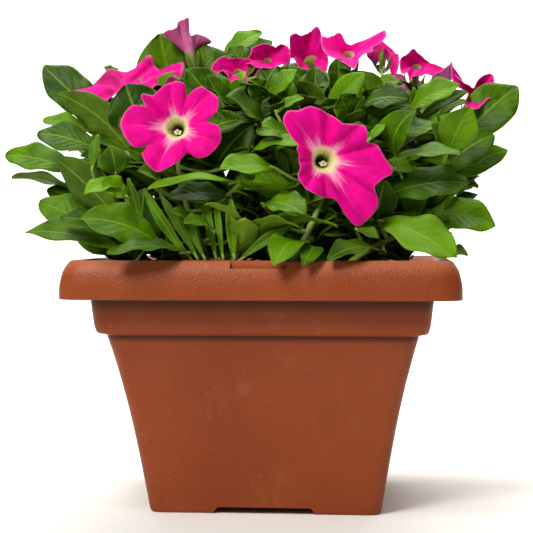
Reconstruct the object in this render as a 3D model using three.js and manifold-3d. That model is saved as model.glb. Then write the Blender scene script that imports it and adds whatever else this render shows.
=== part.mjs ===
// A potted grandiflora petunia: hairy paddle-shaped leaves and pink funnel flowers on branching
// shoots, growing out of potting mix in a square plastic planter, 300 mm across its rolled rim.
// Millimetres, +Z up. The origin is the middle of the planter's base, and -Y is the front.

import * as THREE from 'three'
import { mergeVertices } from 'three/addons/utils/BufferGeometryUtils.js'
import Module from 'manifold-3d'

const wasm = await Module()
wasm.setup()

// ---------------------------------------------------------------- driving dimensions

const GAP = 0.3 // clearance between neighbouring solids

const BASE_HALF = 89.7 // half the width of the planter's foot
const BODY_HALF = 118.4 // half the width of the body, just under the collar
const BODY_TOP = 138.6
const COLLAR_HALF = 126.3 // the collar is a step wider than the body
const COLLAR_TOP_HALF = 130.5
const RIM_HALF = 150 // the rolled rim hangs outside the collar
const RIM_LIP_HALF = 141.5
const RIM_SKIRT = 167 // height of the rim's lower edge
const HEIGHT = 196.3
const WALL = 2.5
const FLOOR = 8
const CORNER_RADIUS = 10

const SOIL_LEVEL = 173
const PLANT_TURN = 4.8 // the plant is turned this many degrees in its planter

const LEAF_THICKNESS = 1
const PETAL_THICKNESS = 0.8
const TUBE_RADIUS = 2.2 // of a flower's tube, at the calyx
const MOUTH_SHARE = 0.24 // radius of the tube's mouth, against the mean reach of the lobes
const NOTCH_SHARE = 0.8 // reach of the cut between two lobes, against the lobes'

// ---------------------------------------------------------------- materials

const matte = (color, roughness) => new THREE.MeshStandardMaterial({ color, roughness, metalness: 0 })
const plastic = (color) => matte(color, 0.48)
const tissue = (color) => matte(color, 0.62)
const soil = matte(0x2b1d13, 0.97)

const TERRACOTTA = 0x9c4c2b
const LEAF_GREEN = 0x4f7f1e
const STEM_GREEN = 0x7d8b3c
const PETAL_PINK = 0xf2149a

// ---------------------------------------------------------------- solids

// A grid of points as one closed skin: rows[i] is a ring, and the first and last rings are capped.
function skin(rows) {
  const around = rows[0].length
  const points = rows.flat()
  const triangles = []
  for (let i = 0; i + 1 < rows.length; i++) {
    for (let j = 0; j < around; j++) {
      const a = i * around + j
      const b = i * around + ((j + 1) % around)
      triangles.push(a, b, a + around, b, b + around, a + around)
    }
  }
  for (const [row, turned] of [[0, true], [rows.length - 1, false]]) {
    const centre = points.length
    points.push(rows[row].reduce((sum, p) => sum.add(p), new THREE.Vector3()).divideScalar(around))
    for (let j = 0; j < around; j++) {
      const a = row * around + j
      const b = row * around + ((j + 1) % around)
      triangles.push(...(turned ? [b, a, centre] : [a, b, centre]))
    }
  }
  return geometryOf(points, triangles)
}

function geometryOf(points, triangles) {
  const coordinates = points.flatMap((p) => [p.x, p.y, p.z])
  const geometry = new THREE.BufferGeometry()
  geometry.setAttribute('position', new THREE.Float32BufferAttribute(coordinates, 3))
  geometry.setIndex(triangles)
  return geometry
}

function solidOf(geometry) {
  const bare = geometry.clone()
  bare.deleteAttribute('normal')
  bare.deleteAttribute('uv')
  const merged = mergeVertices(bare, 1e-4)
  const triVerts = new Uint32Array(merged.index.array)
  const solid = new wasm.Manifold(
    new wasm.Mesh({ numProp: 3, vertProperties: merged.attributes.position.array, triVerts })
  )
  if (solid.volume() > 0) return solid
  triVerts.reverse()
  return new wasm.Manifold(
    new wasm.Mesh({ numProp: 3, vertProperties: merged.attributes.position.array, triVerts })
  )
}

function largest(solid) {
  const bodies = solid.decompose()
  return bodies.reduce((best, body) => (body.volume() > best.volume() ? body : best))
}

// The solid as a named mesh, with flat faces' vertices shared no further than they touch.
function meshOf(name, solid, material) {
  const { numProp, vertProperties, triVerts } = solid.getMesh()
  const geometry = new THREE.BufferGeometry()
  const positions = new Float32Array((vertProperties.length / numProp) * 3)
  for (let i = 0; i < positions.length / 3; i++) {
    for (let k = 0; k < 3; k++) positions[3 * i + k] = vertProperties[numProp * i + k]
  }
  geometry.setAttribute('position', new THREE.BufferAttribute(positions, 3))
  geometry.setIndex(new THREE.BufferAttribute(new Uint32Array(triVerts), 1))
  geometry.computeVertexNormals()
  const mesh = new THREE.Mesh(geometry, material)
  mesh.name = name
  return mesh
}

const vec = (p) => new THREE.Vector3(...p)

// A round bar along a curve. Its radius runs evenly from one end's to the other's.
function bar(curve, startRadius, endRadius, steps, sides, grow = 0) {
  const frames = curve.computeFrenetFrames(steps, false)
  const rows = []
  for (let i = 0; i <= steps; i++) {
    const centre = curve.getPointAt(i / steps)
    const radius = THREE.MathUtils.lerp(startRadius, endRadius, i / steps) + grow
    const row = []
    for (let j = 0; j < sides; j++) {
      const angle = (j / sides) * 2 * Math.PI
      row.push(
        centre
          .clone()
          .addScaledVector(frames.normals[i], radius * Math.cos(angle))
          .addScaledVector(frames.binormals[i], radius * Math.sin(angle))
      )
    }
    rows.push(row)
  }
  return solidOf(skin(rows))
}

// ---------------------------------------------------------------- planter

const bodyHalf = (z) => {
  const t = z / BODY_TOP
  return BASE_HALF + (BODY_HALF - BASE_HALF) * (0.78 * t + 0.22 * t ** 3)
}

// One level of a square tub: a square with rounded corners, four points to a corner.
function squareRing(half, z) {
  const radius = Math.min(CORNER_RADIUS, half * 0.9)
  const ring = []
  for (let corner = 0; corner < 4; corner++) {
    const middle = new THREE.Vector2(half - radius, half - radius).rotateAround(
      new THREE.Vector2(),
      (corner * Math.PI) / 2
    )
    for (let k = 0; k < 4; k++) {
      const angle = ((corner + k / 3) * Math.PI) / 2
      const x = middle.x + radius * Math.cos(angle)
      const y = middle.y + radius * Math.sin(angle)
      ring.push(new THREE.Vector3(x, y, z))
    }
  }
  return ring
}

function tub(profile) {
  return solidOf(skin(profile.map(([half, z]) => squareRing(half, z))))
}

const BODY_LEVELS = [0, 0.25, 0.5, 0.75, 1]

function planterShell() {
  const outside = BODY_LEVELS.map((t) => [bodyHalf(t * BODY_TOP), t * BODY_TOP])
  const collar = [
    [COLLAR_HALF - 2, BODY_TOP + 0.6],
    [COLLAR_HALF, BODY_TOP + 4],
    [COLLAR_HALF + 3.2, RIM_SKIRT],
  ]
  const hollow = [
    [COLLAR_TOP_HALF, HEIGHT - 11],
    [138, HEIGHT - 5.5],
    [144, HEIGHT - 9],
    [147.3, HEIGHT - 20],
  ]
  const skirt = [
    [147.7, RIM_SKIRT],
    [RIM_HALF, RIM_SKIRT],
    [RIM_HALF, RIM_SKIRT + 9],
    [147.6, HEIGHT - 8.3],
  ]
  const lip = [
    [144.8, HEIGHT - 2.2],
    [RIM_LIP_HALF, HEIGHT],
    [139, HEIGHT],
  ]
  const inside = [
    [135.6, HEIGHT - 2.6],
    [COLLAR_TOP_HALF - WALL, HEIGHT - 9],
    [127, RIM_SKIRT + 3],
    [COLLAR_HALF - WALL, BODY_TOP + 3],
    [BODY_HALF - WALL, BODY_TOP - 1],
  ]
  const down = BODY_LEVELS.slice(1, -1)
    .reverse()
    .map((t) => [bodyHalf(t * BODY_TOP) - WALL, t * BODY_TOP])
  const foot = [[bodyHalf(FLOOR) - WALL, FLOOR]]
  return tub([...outside, ...collar, ...hollow, ...skirt, ...lip, ...inside, ...down, ...foot])
}

// The arch under each side leaves four corner feet. A drain hole opens into each arch.
const ARCH = { half: 36, height: 5, depth: 32, slope: 5 }
const DRAIN = { radius: 5, from: 73 }

function archAndDrain() {
  const outline = new THREE.Shape([
    new THREE.Vector2(-ARCH.half - ARCH.slope, -1),
    new THREE.Vector2(ARCH.half + ARCH.slope, -1),
    new THREE.Vector2(ARCH.half, ARCH.height),
    new THREE.Vector2(-ARCH.half, ARCH.height),
  ])
  const arch = new THREE.ExtrudeGeometry(outline, { depth: ARCH.depth + 10, bevelEnabled: false })
  arch.rotateX(Math.PI / 2).translate(0, -(BASE_HALF - ARCH.depth), 0)
  const drain = new THREE.CylinderGeometry(DRAIN.radius, DRAIN.radius, 3 * FLOOR, 12)
  drain.rotateX(Math.PI / 2).translate(0, -DRAIN.from, 0)
  return solidOf(arch).add(solidOf(drain))
}

// The label slot through the crest of the rim, at the front and at the back.
const SLOT = { half: 20.4, height: 6, from: 141.2, to: 152 }

function rimSlot() {
  const slot = new THREE.BoxGeometry(2 * SLOT.half, SLOT.to - SLOT.from, 2 * SLOT.height)
  slot.translate(0, -(SLOT.from + SLOT.to) / 2, HEIGHT)
  return solidOf(slot)
}

function planter() {
  let solid = planterShell()
  for (let side = 0; side < 4; side++) solid = solid.subtract(archAndDrain().rotate([0, 0, side * 90]))
  for (const turn of [0, 180]) solid = solid.subtract(rimSlot().rotate([0, 0, turn]))
  return solid
}

// The mix fills the planter and heaps up a little around the plant.
function mixBlock() {
  const levels = BODY_LEVELS.map((t) => {
    const half = bodyHalf(t * BODY_TOP) - WALL - 2 * GAP
    return [half, Math.max(t * BODY_TOP - 1, FLOOR + GAP)]
  })
  const top = [
    [COLLAR_HALF - WALL - 3, BODY_TOP + 6],
    [COLLAR_HALF - WALL, SOIL_LEVEL - 3],
    [100, SOIL_LEVEL],
    [55, SOIL_LEVEL + 3],
  ]
  return tub([...levels, ...top])
}

// ---------------------------------------------------------------- flowers

const LOBES = 5
const LIP_STEPS = 20

// A corolla is one thin funnel: a narrow tube that opens at its mouth into five fused lobes.
// throat: middle of the mouth; facing: the way that it faces; tube: its length; rise: how far the
// lip stands before the throat; bend: how far the limb curls over; lobes: each lobe's angle,
// anticlockwise from the right as seen from the front, and its reach from the throat.
const FLOWERS = [
  {
    name: 'front_left',
    throat: [-73, -118, 295],
    facing: [-0.05, -1, 0.08],
    tube: 30,
    rise: 8,
    bend: 1.1,
    lobes: [[46, 38], [96, 34], [178, 41], [247, 37], [335, 35]],
  },
  {
    name: 'front_right',
    throat: [37, -122, 271],
    facing: [0.12, -1, 0.02],
    tube: 32,
    rise: 9,
    bend: 1.15,
    lobes: [[45, 38], [128, 46], [238, 28], [302, 57], [351, 52]],
  },
  {
    name: 'left',
    throat: [-118, -28, 337],
    facing: [-0.1, 0.28, 0.95],
    tube: 26,
    rise: 14,
    bend: 1,
    lobes: evenLobes(20, 42, [1.1, 0.9, 1, 1.05, 0.95]),
  },
  {
    name: 'top_left',
    throat: [-68, -8, 362],
    facing: [-0.15, 0.3, 0.94],
    tube: 20,
    rise: 16,
    bend: 0.85,
    lobes: evenLobes(60, 21, [1, 1.05, 1, 0.9, 1]),
  },
  {
    name: 'upper_left',
    throat: [-29, -38, 338],
    facing: [-0.1, -0.5, 0.86],
    tube: 24,
    rise: 10,
    bend: 1,
    lobes: evenLobes(10, 24, [1, 1, 1, 1, 1]),
  },
  {
    name: 'upper_centre',
    throat: [-4, -28, 351],
    facing: [-0.35, -0.35, 0.87],
    tube: 24,
    rise: 11,
    bend: 0.9,
    lobes: evenLobes(50, 20, [1, 0.9, 1, 1, 1]),
  },
  {
    name: 'centre',
    throat: [31, -18, 357],
    facing: [-0.75, -0.35, 0.55],
    tube: 26,
    rise: 10,
    bend: 1.1,
    lobes: evenLobes(0, 29, [1, 1.05, 1, 0.95, 1]),
  },
  {
    name: 'top',
    throat: [64, -4, 362],
    facing: [0.1, -0.4, 0.91],
    tube: 26,
    rise: 10,
    bend: 1,
    lobes: evenLobes(15, 30, [1.05, 1, 1, 1, 0.95]),
  },
  {
    name: 'top_right',
    throat: [93, 22, 360],
    facing: [0.35, 0.65, 0.67],
    tube: 26,
    rise: 12,
    bend: 0.9,
    lobes: evenLobes(30, 24, [1, 1, 0.9, 1, 1]),
  },
  {
    name: 'upper_right',
    throat: [122, -18, 346],
    facing: [-0.42, -0.1, 0.9],
    tube: 26,
    rise: 10,
    bend: 1,
    lobes: evenLobes(20, 26, [1, 0.95, 1.1, 1, 1]),
  },
  {
    name: 'right',
    throat: [165, 0, 330],
    facing: [0.45, -0.3, 0.84],
    tube: 24,
    rise: 10,
    bend: 1,
    lobes: evenLobes(45, 25, [1, 1, 1.05, 0.95, 1]),
  },
  {
    name: 'back_left',
    throat: [-88, 110, 318],
    facing: [-0.45, 0.75, 0.5],
    tube: 30,
    rise: 9,
    bend: 1.1,
    lobes: evenLobes(25, 38, [1, 1.05, 0.95, 1, 1]),
  },
  {
    name: 'back',
    throat: [12, 122, 330],
    facing: [0.05, 0.85, 0.5],
    tube: 30,
    rise: 9,
    bend: 1.1,
    lobes: evenLobes(55, 38, [1, 1, 1.05, 0.95, 1]),
  },
  {
    name: 'back_right',
    throat: [112, 88, 322],
    facing: [0.5, 0.7, 0.5],
    tube: 28,
    rise: 9,
    bend: 1.1,
    lobes: evenLobes(5, 34, [1.05, 1, 1, 0.95, 1]),
  },
]

// Five lobes evenly round the flower from the angle given, each its share of the reach.
function evenLobes(turn, reach, shares) {
  return shares.map((share, k) => [turn + (k * 360) / LOBES, share * reach])
}

// The flower's own axes: z is the way it faces, x its right and y its top as seen from the front.
function flowerFrame(flower) {
  const z = vec(flower.facing).normalize()
  const x = new THREE.Vector3(0, 0, 1).cross(z).normalize()
  const y = z.clone().cross(x)
  return new THREE.Matrix4().makeBasis(x, y, z).setPosition(vec(flower.throat))
}

// How far the limb reaches at an angle: fully at a lobe's middle, and cut in between two lobes.
function lobeReach(flower, angle) {
  const degrees = THREE.MathUtils.radToDeg(angle)
  const after = flower.lobes.findIndex(([at]) => at > degrees)
  const next = flower.lobes[Math.max(after, 0)]
  const last = flower.lobes.at(after < 1 ? -1 : after - 1)
  const around = (from, to) => THREE.MathUtils.euclideanModulo(to - from, 360)
  const share = around(last[0], degrees) / around(last[0], next[0])
  const notch = NOTCH_SHARE + (1 - NOTCH_SHARE) * Math.abs(Math.cos(share * Math.PI)) ** 0.6
  return THREE.MathUtils.lerp(last[1], next[1], share) * notch
}

function corolla(flower, grow = 0) {
  const half = PETAL_THICKNESS / 2 + grow
  const size = flower.lobes.reduce((sum, [, reach]) => sum + reach / LOBES, 0)
  const mouth = MOUTH_SHARE * size
  const ring = (radiusAt, heightAt) =>
    Array.from({ length: LIP_STEPS }, (_, j) => {
      const angle = (j / LIP_STEPS) * 2 * Math.PI
      const radius = radiusAt(angle)
      return new THREE.Vector3(radius * Math.cos(angle), radius * Math.sin(angle), heightAt(angle))
    })
  const limb = (share, offset) =>
    ring(
      (angle) => THREE.MathUtils.lerp(mouth, lobeReach(flower, angle), share) - offset * 0.4,
      (angle) => {
        const wave = 0.06 * size * share ** 2 * Math.cos(LOBES * angle)
        return flower.rise * Math.sin((flower.bend * share * Math.PI) / 2) + wave + offset
      }
    )
  const tube = (radius, height) => ring(() => radius, () => height)
  const outside = [
    tube(TUBE_RADIUS + half, -flower.tube - grow),
    tube(0.4 * mouth + half, -0.4 * flower.tube),
    tube(mouth + half, -1),
    limb(0.5, -half),
    limb(1 + grow / size, -half),
  ]
  const inside = [
    limb(1 + grow / size, half),
    limb(0.5, half),
    tube(mouth - half, 1),
    tube(0.4 * mouth - half, -0.4 * flower.tube + 0.5),
    tube(TUBE_RADIUS - half, -flower.tube + 1.5),
  ]
  return solidOf(skin([...outside, ...inside]).applyMatrix4(flowerFrame(flower)))
}

// The calyx clasps the foot of the tube with five pointed sepals.
function calyx(flower, grow = 0) {
  const star = (outer, inner, height) =>
    Array.from({ length: 2 * LOBES }, (_, j) => {
      const angle = (j / LOBES) * Math.PI
      const radius = (j % 2 ? inner : outer) + grow
      return new THREE.Vector3(radius * Math.cos(angle), radius * Math.sin(angle), height)
    })
  const foot = -flower.tube
  const cup = [
    star(1.4, 1.4, foot - 5),
    star(3.6, 3.4, foot - 1),
    star(4.6, 3.4, foot + 5),
    star(6, 2.6, foot + 10),
  ]
  return solidOf(skin(cup).applyMatrix4(flowerFrame(flower)))
}

// ---------------------------------------------------------------- shoots

// Each shoot climbs from the crown in the mix through the points given, and its pedicels
// carry the flowers named.
const SHOOT_ROOT = SOIL_LEVEL - 12
const SHOOTS = [
  {
    name: 'left_low',
    path: [[-45, -55, SHOOT_ROOT], [-75, -75, 205], [-125, -62, 238], [-150, -45, 258]],
    flowers: [],
  },
  {
    name: 'left',
    path: [[-38, -40, SHOOT_ROOT], [-70, -55, 230], [-105, -48, 285], [-116, -36, 298]],
    flowers: ['left'],
  },
  {
    name: 'front_left',
    path: [[-38, -72, SHOOT_ROOT], [-55, -90, 205], [-72, -82, 255], [-74, -74, 284]],
    flowers: ['front_left'],
  },
  {
    name: 'centre_left',
    path: [[-22, -38, SHOOT_ROOT], [-42, -42, 230], [-40, -28, 290], [-38, -20, 315]],
    flowers: ['upper_left', 'top_left', 'upper_centre'],
  },
  {
    name: 'front_right',
    path: [[0, -72, SHOOT_ROOT], [18, -92, 200], [36, -80, 240], [40, -75, 262]],
    flowers: ['front_right'],
  },
  {
    name: 'centre_right',
    path: [[12, -30, SHOOT_ROOT], [38, -40, 235], [58, -22, 290], [62, -14, 322]],
    flowers: ['centre', 'top', 'top_right'],
  },
  {
    name: 'right',
    path: [[28, -42, SHOOT_ROOT], [80, -58, 215], [125, -45, 262], [142, -25, 296]],
    flowers: ['upper_right', 'right'],
  },
  {
    name: 'right_low',
    path: [[25, -62, SHOOT_ROOT], [62, -88, 196], [95, -92, 215], [118, -72, 226]],
    flowers: [],
  },
  {
    name: 'back_left',
    path: [[-32, 12, SHOOT_ROOT], [-66, 50, 225], [-78, 70, 270], [-80, 74, 292]],
    flowers: ['back_left'],
  },
  {
    name: 'back',
    path: [[5, 22, SHOOT_ROOT], [12, 62, 225], [14, 78, 280], [14, 84, 300]],
    flowers: ['back'],
  },
  {
    name: 'back_right',
    path: [[34, 8, SHOOT_ROOT], [80, 42, 225], [95, 55, 270], [98, 62, 290]],
    flowers: ['back_right'],
  },
]

const flowerNamed = (name) => FLOWERS.find((flower) => flower.name === name)
const shootCurve = (shoot) => new THREE.CatmullRomCurve3(shoot.path.map(vec))

// The pedicel leaves its shoot near the top and meets the calyx in line with the flower's tube.
function pedicel(shoot, flower, grow = 0) {
  const frame = flowerFrame(flower)
  const end = new THREE.Vector3(0, 0, -flower.tube - 4).applyMatrix4(frame)
  const before = new THREE.Vector3(0, 0, -flower.tube - 12).applyMatrix4(frame)
  const start = shootCurve(shoot).getPointAt(0.9)
  const curve = new THREE.CatmullRomCurve3([start, start.clone().lerp(before, 0.5), before, end])
  return bar(curve, 1.5, 1.3, 4, 4, grow)
}

function shootSolid(shoot, grow = 0) {
  let solid = bar(shootCurve(shoot), 3.2, 1.9, 7, 6, grow)
  for (const name of shoot.flowers) {
    const flower = flowerNamed(name)
    solid = solid.add(pedicel(shoot, flower, grow)).add(calyx(flower, grow))
  }
  return solid
}

// ---------------------------------------------------------------- leaves

// ends: the blade's foot and tip; width: its greatest width; face: roughly the way its
// upper side faces; arch: how far the midrib bows up, against the length; cup: how far the edges
// rise above the midrib, against the half width.
const LEAVES = [
  {
    name: 'front_left_large',
    ends: [[-85, -120, 208], [-142, -140, 228]],
    face: [-0.15, -0.75, 0.6],
    width: 35,
    arch: 0.12,
    cup: 0.12,
  },
  {
    name: 'front_right_large',
    ends: [[80, -98, 226], [134, -136, 198]],
    face: [0.1, -0.7, 0.65],
    width: 40,
    arch: 0.1,
    cup: 0.12,
  },
  {
    name: 'left_over_rim',
    ends: [[-115, -75, 202], [-195, -62, 218]],
    face: [-0.1, -0.55, 0.8],
    width: 25,
    arch: 0.1,
    cup: 0.2,
  },
  {
    name: 'far_left_top',
    ends: [[-132, -30, 302], [-186, -20, 352]],
    face: [-0.35, -0.6, 0.7],
    width: 34,
    arch: 0.08,
    cup: 0.15,
  },
  {
    name: 'left_pale',
    ends: [[-108, -74, 274], [-169, -54, 327]],
    face: [-0.35, 0.7, 0.6],
    width: 28,
    arch: 0.08,
    cup: 0.1,
  },
  {
    name: 'left_dark',
    ends: [[-135, -75, 281], [-185, -65, 295]],
    face: [-0.1, -0.75, 0.65],
    width: 30,
    arch: 0.1,
    cup: 0.1,
  },
  {
    name: 'far_left_mid',
    ends: [[-154, -45, 264], [-217, -24, 280]],
    face: [-0.1, -0.75, 0.6],
    width: 27,
    arch: 0.1,
    cup: 0.15,
  },
  {
    name: 'left_olive',
    ends: [[-118, -94, 226], [-167, -84, 274]],
    face: [-0.3, 0.6, 0.7],
    width: 33,
    arch: 0.06,
    cup: 0.1,
  },
  {
    name: 'left_edge_on',
    ends: [[-152, -34, 246], [-212, -20, 262]],
    face: [-0.1, 0.4, 0.9],
    width: 22,
    arch: 0.08,
    cup: 0.15,
  },
  {
    name: 'left_low',
    ends: [[-138, -60, 216], [-186, -50, 241]],
    face: [-0.1, -0.75, 0.6],
    width: 30,
    arch: 0.1,
    cup: 0.1,
  },
  {
    name: 'behind_left_flower',
    ends: [[-96, -58, 288], [-116, -60, 333]],
    face: [-0.1, -0.85, 0.5],
    width: 46,
    arch: 0.08,
    cup: 0.1,
  },
  {
    name: 'top_left_large',
    ends: [[-78, 26, 326], [-94, 12, 382]],
    face: [-0.2, -0.85, 0.5],
    width: 50,
    arch: 0.06,
    cup: 0.08,
  },
  {
    name: 'top_mid_large',
    ends: [[-32, -50, 296], [-68, -56, 346]],
    face: [0.1, -0.85, 0.5],
    width: 42,
    arch: 0.08,
    cup: 0.1,
  },
  {
    name: 'top_bright',
    ends: [[-44, 48, 364], [-10, 55, 389]],
    face: [-0.1, -0.7, 0.7],
    width: 23,
    arch: 0.12,
    cup: 0.15,
  },
  {
    name: 'centre_fold',
    ends: [[-6, -72, 298], [-36, -94, 321]],
    face: [0.2, -0.55, 0.8],
    width: 38,
    arch: 0.06,
    cup: 0.25,
  },
  {
    name: 'centre_dark',
    ends: [[-48, -66, 262], [-17, -82, 300]],
    face: [0.1, -0.8, 0.6],
    width: 38,
    arch: 0.1,
    cup: 0.1,
  },
  {
    name: 'centre_heart',
    ends: [[0, -104, 266], [-40, -130, 264]],
    face: [0.1, -0.65, 0.75],
    width: 28,
    arch: 0.08,
    cup: 0.2,
  },
  {
    name: 'front_strap',
    ends: [[-26, -116, 254], [-93, -142, 249]],
    face: [0, -0.3, 0.95],
    width: 20,
    arch: 0.08,
    cup: 0.2,
  },
  {
    name: 'front_under',
    ends: [[-26, -114, 200], [46, -148, 223]],
    face: [-0.1, 0.4, 0.9],
    width: 26,
    arch: 0.16,
    cup: 0.15,
  },
  {
    name: 'rim_hang',
    ends: [[24, -116, 206], [0, -164, 194]],
    face: [-0.1, -0.55, 0.85],
    width: 28,
    arch: 0.2,
    cup: 0.15,
  },
  {
    name: 'right_side',
    ends: [[118, -60, 231], [173, -70, 223]],
    face: [0.1, -0.75, 0.6],
    width: 34,
    arch: 0.1,
    cup: 0.15,
  },
  {
    name: 'right_dark',
    ends: [[86, -80, 245], [148, -100, 255]],
    face: [0.1, -0.8, 0.55],
    width: 32,
    arch: 0.1,
    cup: 0.12,
  },
  {
    name: 'right_strap',
    ends: [[84, -94, 269], [140, -126, 275]],
    face: [0, -0.45, 0.9],
    width: 25,
    arch: 0.08,
    cup: 0.2,
  },
  {
    name: 'far_right_tip',
    ends: [[131, -28, 258], [189, -24, 284]],
    face: [0.1, -0.8, 0.5],
    width: 25,
    arch: 0.06,
    cup: 0.15,
  },
  {
    name: 'far_right_top',
    ends: [[148, -14, 289], [199, -8, 337]],
    face: [0.2, -0.75, 0.55],
    width: 40,
    arch: 0.08,
    cup: 0.12,
  },
  {
    name: 'right_bright',
    ends: [[135, -70, 278], [151, -86, 313]],
    face: [0.2, -0.8, 0.5],
    width: 30,
    arch: 0.12,
    cup: 0.15,
  },
  {
    name: 'back_left_low',
    ends: [[-105, 70, 225], [-168, 92, 232]],
    face: [-0.4, 0.3, 0.85],
    width: 36,
    arch: 0.15,
    cup: 0.15,
  },
  {
    name: 'back_left_high',
    ends: [[-95, 85, 262], [-152, 108, 276]],
    face: [-0.4, 0.6, 0.7],
    width: 38,
    arch: 0.12,
    cup: 0.12,
  },
  {
    name: 'back_low',
    ends: [[20, 95, 218], [34, 160, 212]],
    face: [0, 0.5, 0.85],
    width: 38,
    arch: 0.15,
    cup: 0.15,
  },
  {
    name: 'back_mid',
    ends: [[-28, 95, 252], [-42, 158, 262]],
    face: [-0.1, 0.6, 0.8],
    width: 38,
    arch: 0.12,
    cup: 0.12,
  },
  {
    name: 'back_right_low',
    ends: [[105, 62, 222], [166, 88, 226]],
    face: [0.4, 0.4, 0.85],
    width: 38,
    arch: 0.15,
    cup: 0.15,
  },
  {
    name: 'back_right_high',
    ends: [[128, 58, 258], [176, 92, 276]],
    face: [0.4, 0.5, 0.75],
    width: 34,
    arch: 0.12,
    cup: 0.12,
  },
]
const LEAF_STEPS = 6
const STALK_END = 0.1 // the blade widens from here on

// Half the blade's width along its length: a slim winged foot, widest past the middle, a blunt tip.
const bladeHalf = (t) => Math.sin(Math.PI * Math.min(0.99, 0.06 + 0.93 * t) ** 1.35) ** 0.8

function blade(leaf, grow = 0) {
  const base = vec(leaf.ends[0])
  const along = vec(leaf.ends[1]).sub(base)
  const length = along.length()
  const forward = along.clone().normalize()
  const side = forward.clone().cross(vec(leaf.face)).normalize()
  const up = side.clone().cross(forward)
  const rows = []
  for (let i = 0; i <= LEAF_STEPS; i++) {
    const t = i / LEAF_STEPS
    const half = Math.max(1, (leaf.width / 2) * bladeHalf(t)) + grow
    const beyond = i === LEAF_STEPS ? grow : i === 0 ? -grow : 0
    const middle = base
      .clone()
      .addScaledVector(forward, length * t + beyond)
      .addScaledVector(up, 4 * leaf.arch * length * t * (1 - t))
    const at = (across, level) =>
      middle
        .clone()
        .addScaledVector(side, across * half)
        .addScaledVector(up, Math.abs(across) * leaf.cup * half + level)
    const skinHalf = LEAF_THICKNESS / 2 + grow
    const upper = [-1, 0, 1].map((across) => at(across, skinHalf))
    const lower = [1, 0, -1].map((across) => at(across, -skinHalf))
    rows.push([...upper, ...lower])
  }
  return solidOf(skin(rows))
}

// The stalk joins the blade's foot to the nearest place on a shoot.
function stalk(leaf, grow = 0) {
  const base = vec(leaf.ends[0])
  const inside = base.clone().lerp(vec(leaf.ends[1]), STALK_END)
  let nearest = null
  for (const shoot of SHOOTS) {
    for (const point of shootCurve(shoot).getSpacedPoints(24).slice(3)) {
      if (!nearest || point.distanceTo(base) < nearest.distanceTo(base)) nearest = point
    }
  }
  const sag = new THREE.Vector3(0, 0, -0.12 * nearest.distanceTo(base))
  const bend = nearest.clone().lerp(base, 0.5).add(sag)
  const curve = new THREE.CatmullRomCurve3([nearest, bend, base, inside])
  return bar(curve, 1.4, 1.1, 4, 4, grow)
}

const leafSolid = (leaf, grow = 0) => blade(leaf, grow).add(stalk(leaf, grow))

// ---------------------------------------------------------------- assembly

// Pieces are made in order, in the plant's frame. Each gives way to those made before it.
const taken = []

function overlaps(a, b) {
  const p = a.boundingBox()
  const q = b.boundingBox()
  return [0, 1, 2].every((k) => p.min[k] <= q.max[k] && q.min[k] <= p.max[k])
}

function fitted(solid) {
  let rest = solid
  for (const neighbour of taken) if (overlaps(rest, neighbour)) rest = rest.subtract(neighbour)
  return largest(rest)
}

const turned = (solid, degrees) => solid.rotate([0, 0, degrees])

const pottedPlant = new THREE.Group()
const plant = new THREE.Group()
plant.rotation.z = THREE.MathUtils.degToRad(PLANT_TURN)
pottedPlant.add(plant)

const planterSolid = planter()
pottedPlant.add(meshOf('planter', planterSolid, plastic(TERRACOTTA)))
taken.push(turned(planterSolid, -PLANT_TURN))

for (const flower of FLOWERS) {
  plant.add(meshOf(`corolla_${flower.name}`, fitted(corolla(flower)), tissue(PETAL_PINK)))
  taken.push(corolla(flower, GAP))
}

for (const shoot of SHOOTS) {
  plant.add(meshOf(`shoot_${shoot.name}`, fitted(shootSolid(shoot)), tissue(STEM_GREEN)))
  taken.push(shootSolid(shoot, GAP))
}

let mix = mixBlock().subtract(planterSolid)
for (const shoot of SHOOTS) mix = mix.subtract(turned(shootSolid(shoot, GAP), PLANT_TURN))
pottedPlant.add(meshOf('potting_mix', largest(mix), soil))
taken.push(turned(mixBlock(), -PLANT_TURN))

for (const leaf of LEAVES) {
  plant.add(meshOf(`leaf_${leaf.name}`, fitted(leafSolid(leaf)), tissue(LEAF_GREEN)))
  taken.push(leafSolid(leaf, GAP))
}

export default pottedPlant
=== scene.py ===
"""A potted grandiflora petunia: the finished looks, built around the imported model."""

import math

import bpy
import numpy as np
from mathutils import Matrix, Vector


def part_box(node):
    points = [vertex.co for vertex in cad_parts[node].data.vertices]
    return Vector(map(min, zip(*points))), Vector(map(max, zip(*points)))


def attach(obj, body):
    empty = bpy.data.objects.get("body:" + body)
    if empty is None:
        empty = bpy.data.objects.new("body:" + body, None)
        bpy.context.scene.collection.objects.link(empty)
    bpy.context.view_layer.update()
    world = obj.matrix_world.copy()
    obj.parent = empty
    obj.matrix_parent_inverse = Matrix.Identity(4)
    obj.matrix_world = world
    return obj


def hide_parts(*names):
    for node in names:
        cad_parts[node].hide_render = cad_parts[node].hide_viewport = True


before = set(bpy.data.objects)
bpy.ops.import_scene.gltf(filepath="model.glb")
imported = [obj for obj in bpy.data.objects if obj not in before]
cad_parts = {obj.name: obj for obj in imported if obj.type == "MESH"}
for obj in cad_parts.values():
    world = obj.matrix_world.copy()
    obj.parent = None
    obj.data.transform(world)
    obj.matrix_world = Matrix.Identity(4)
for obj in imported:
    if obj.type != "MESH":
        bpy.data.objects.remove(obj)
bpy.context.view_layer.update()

# ------------------------------------------------------------------ driving dimensions
# Lengths are in millimetres until a piece is made. Two of the planter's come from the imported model.

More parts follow.
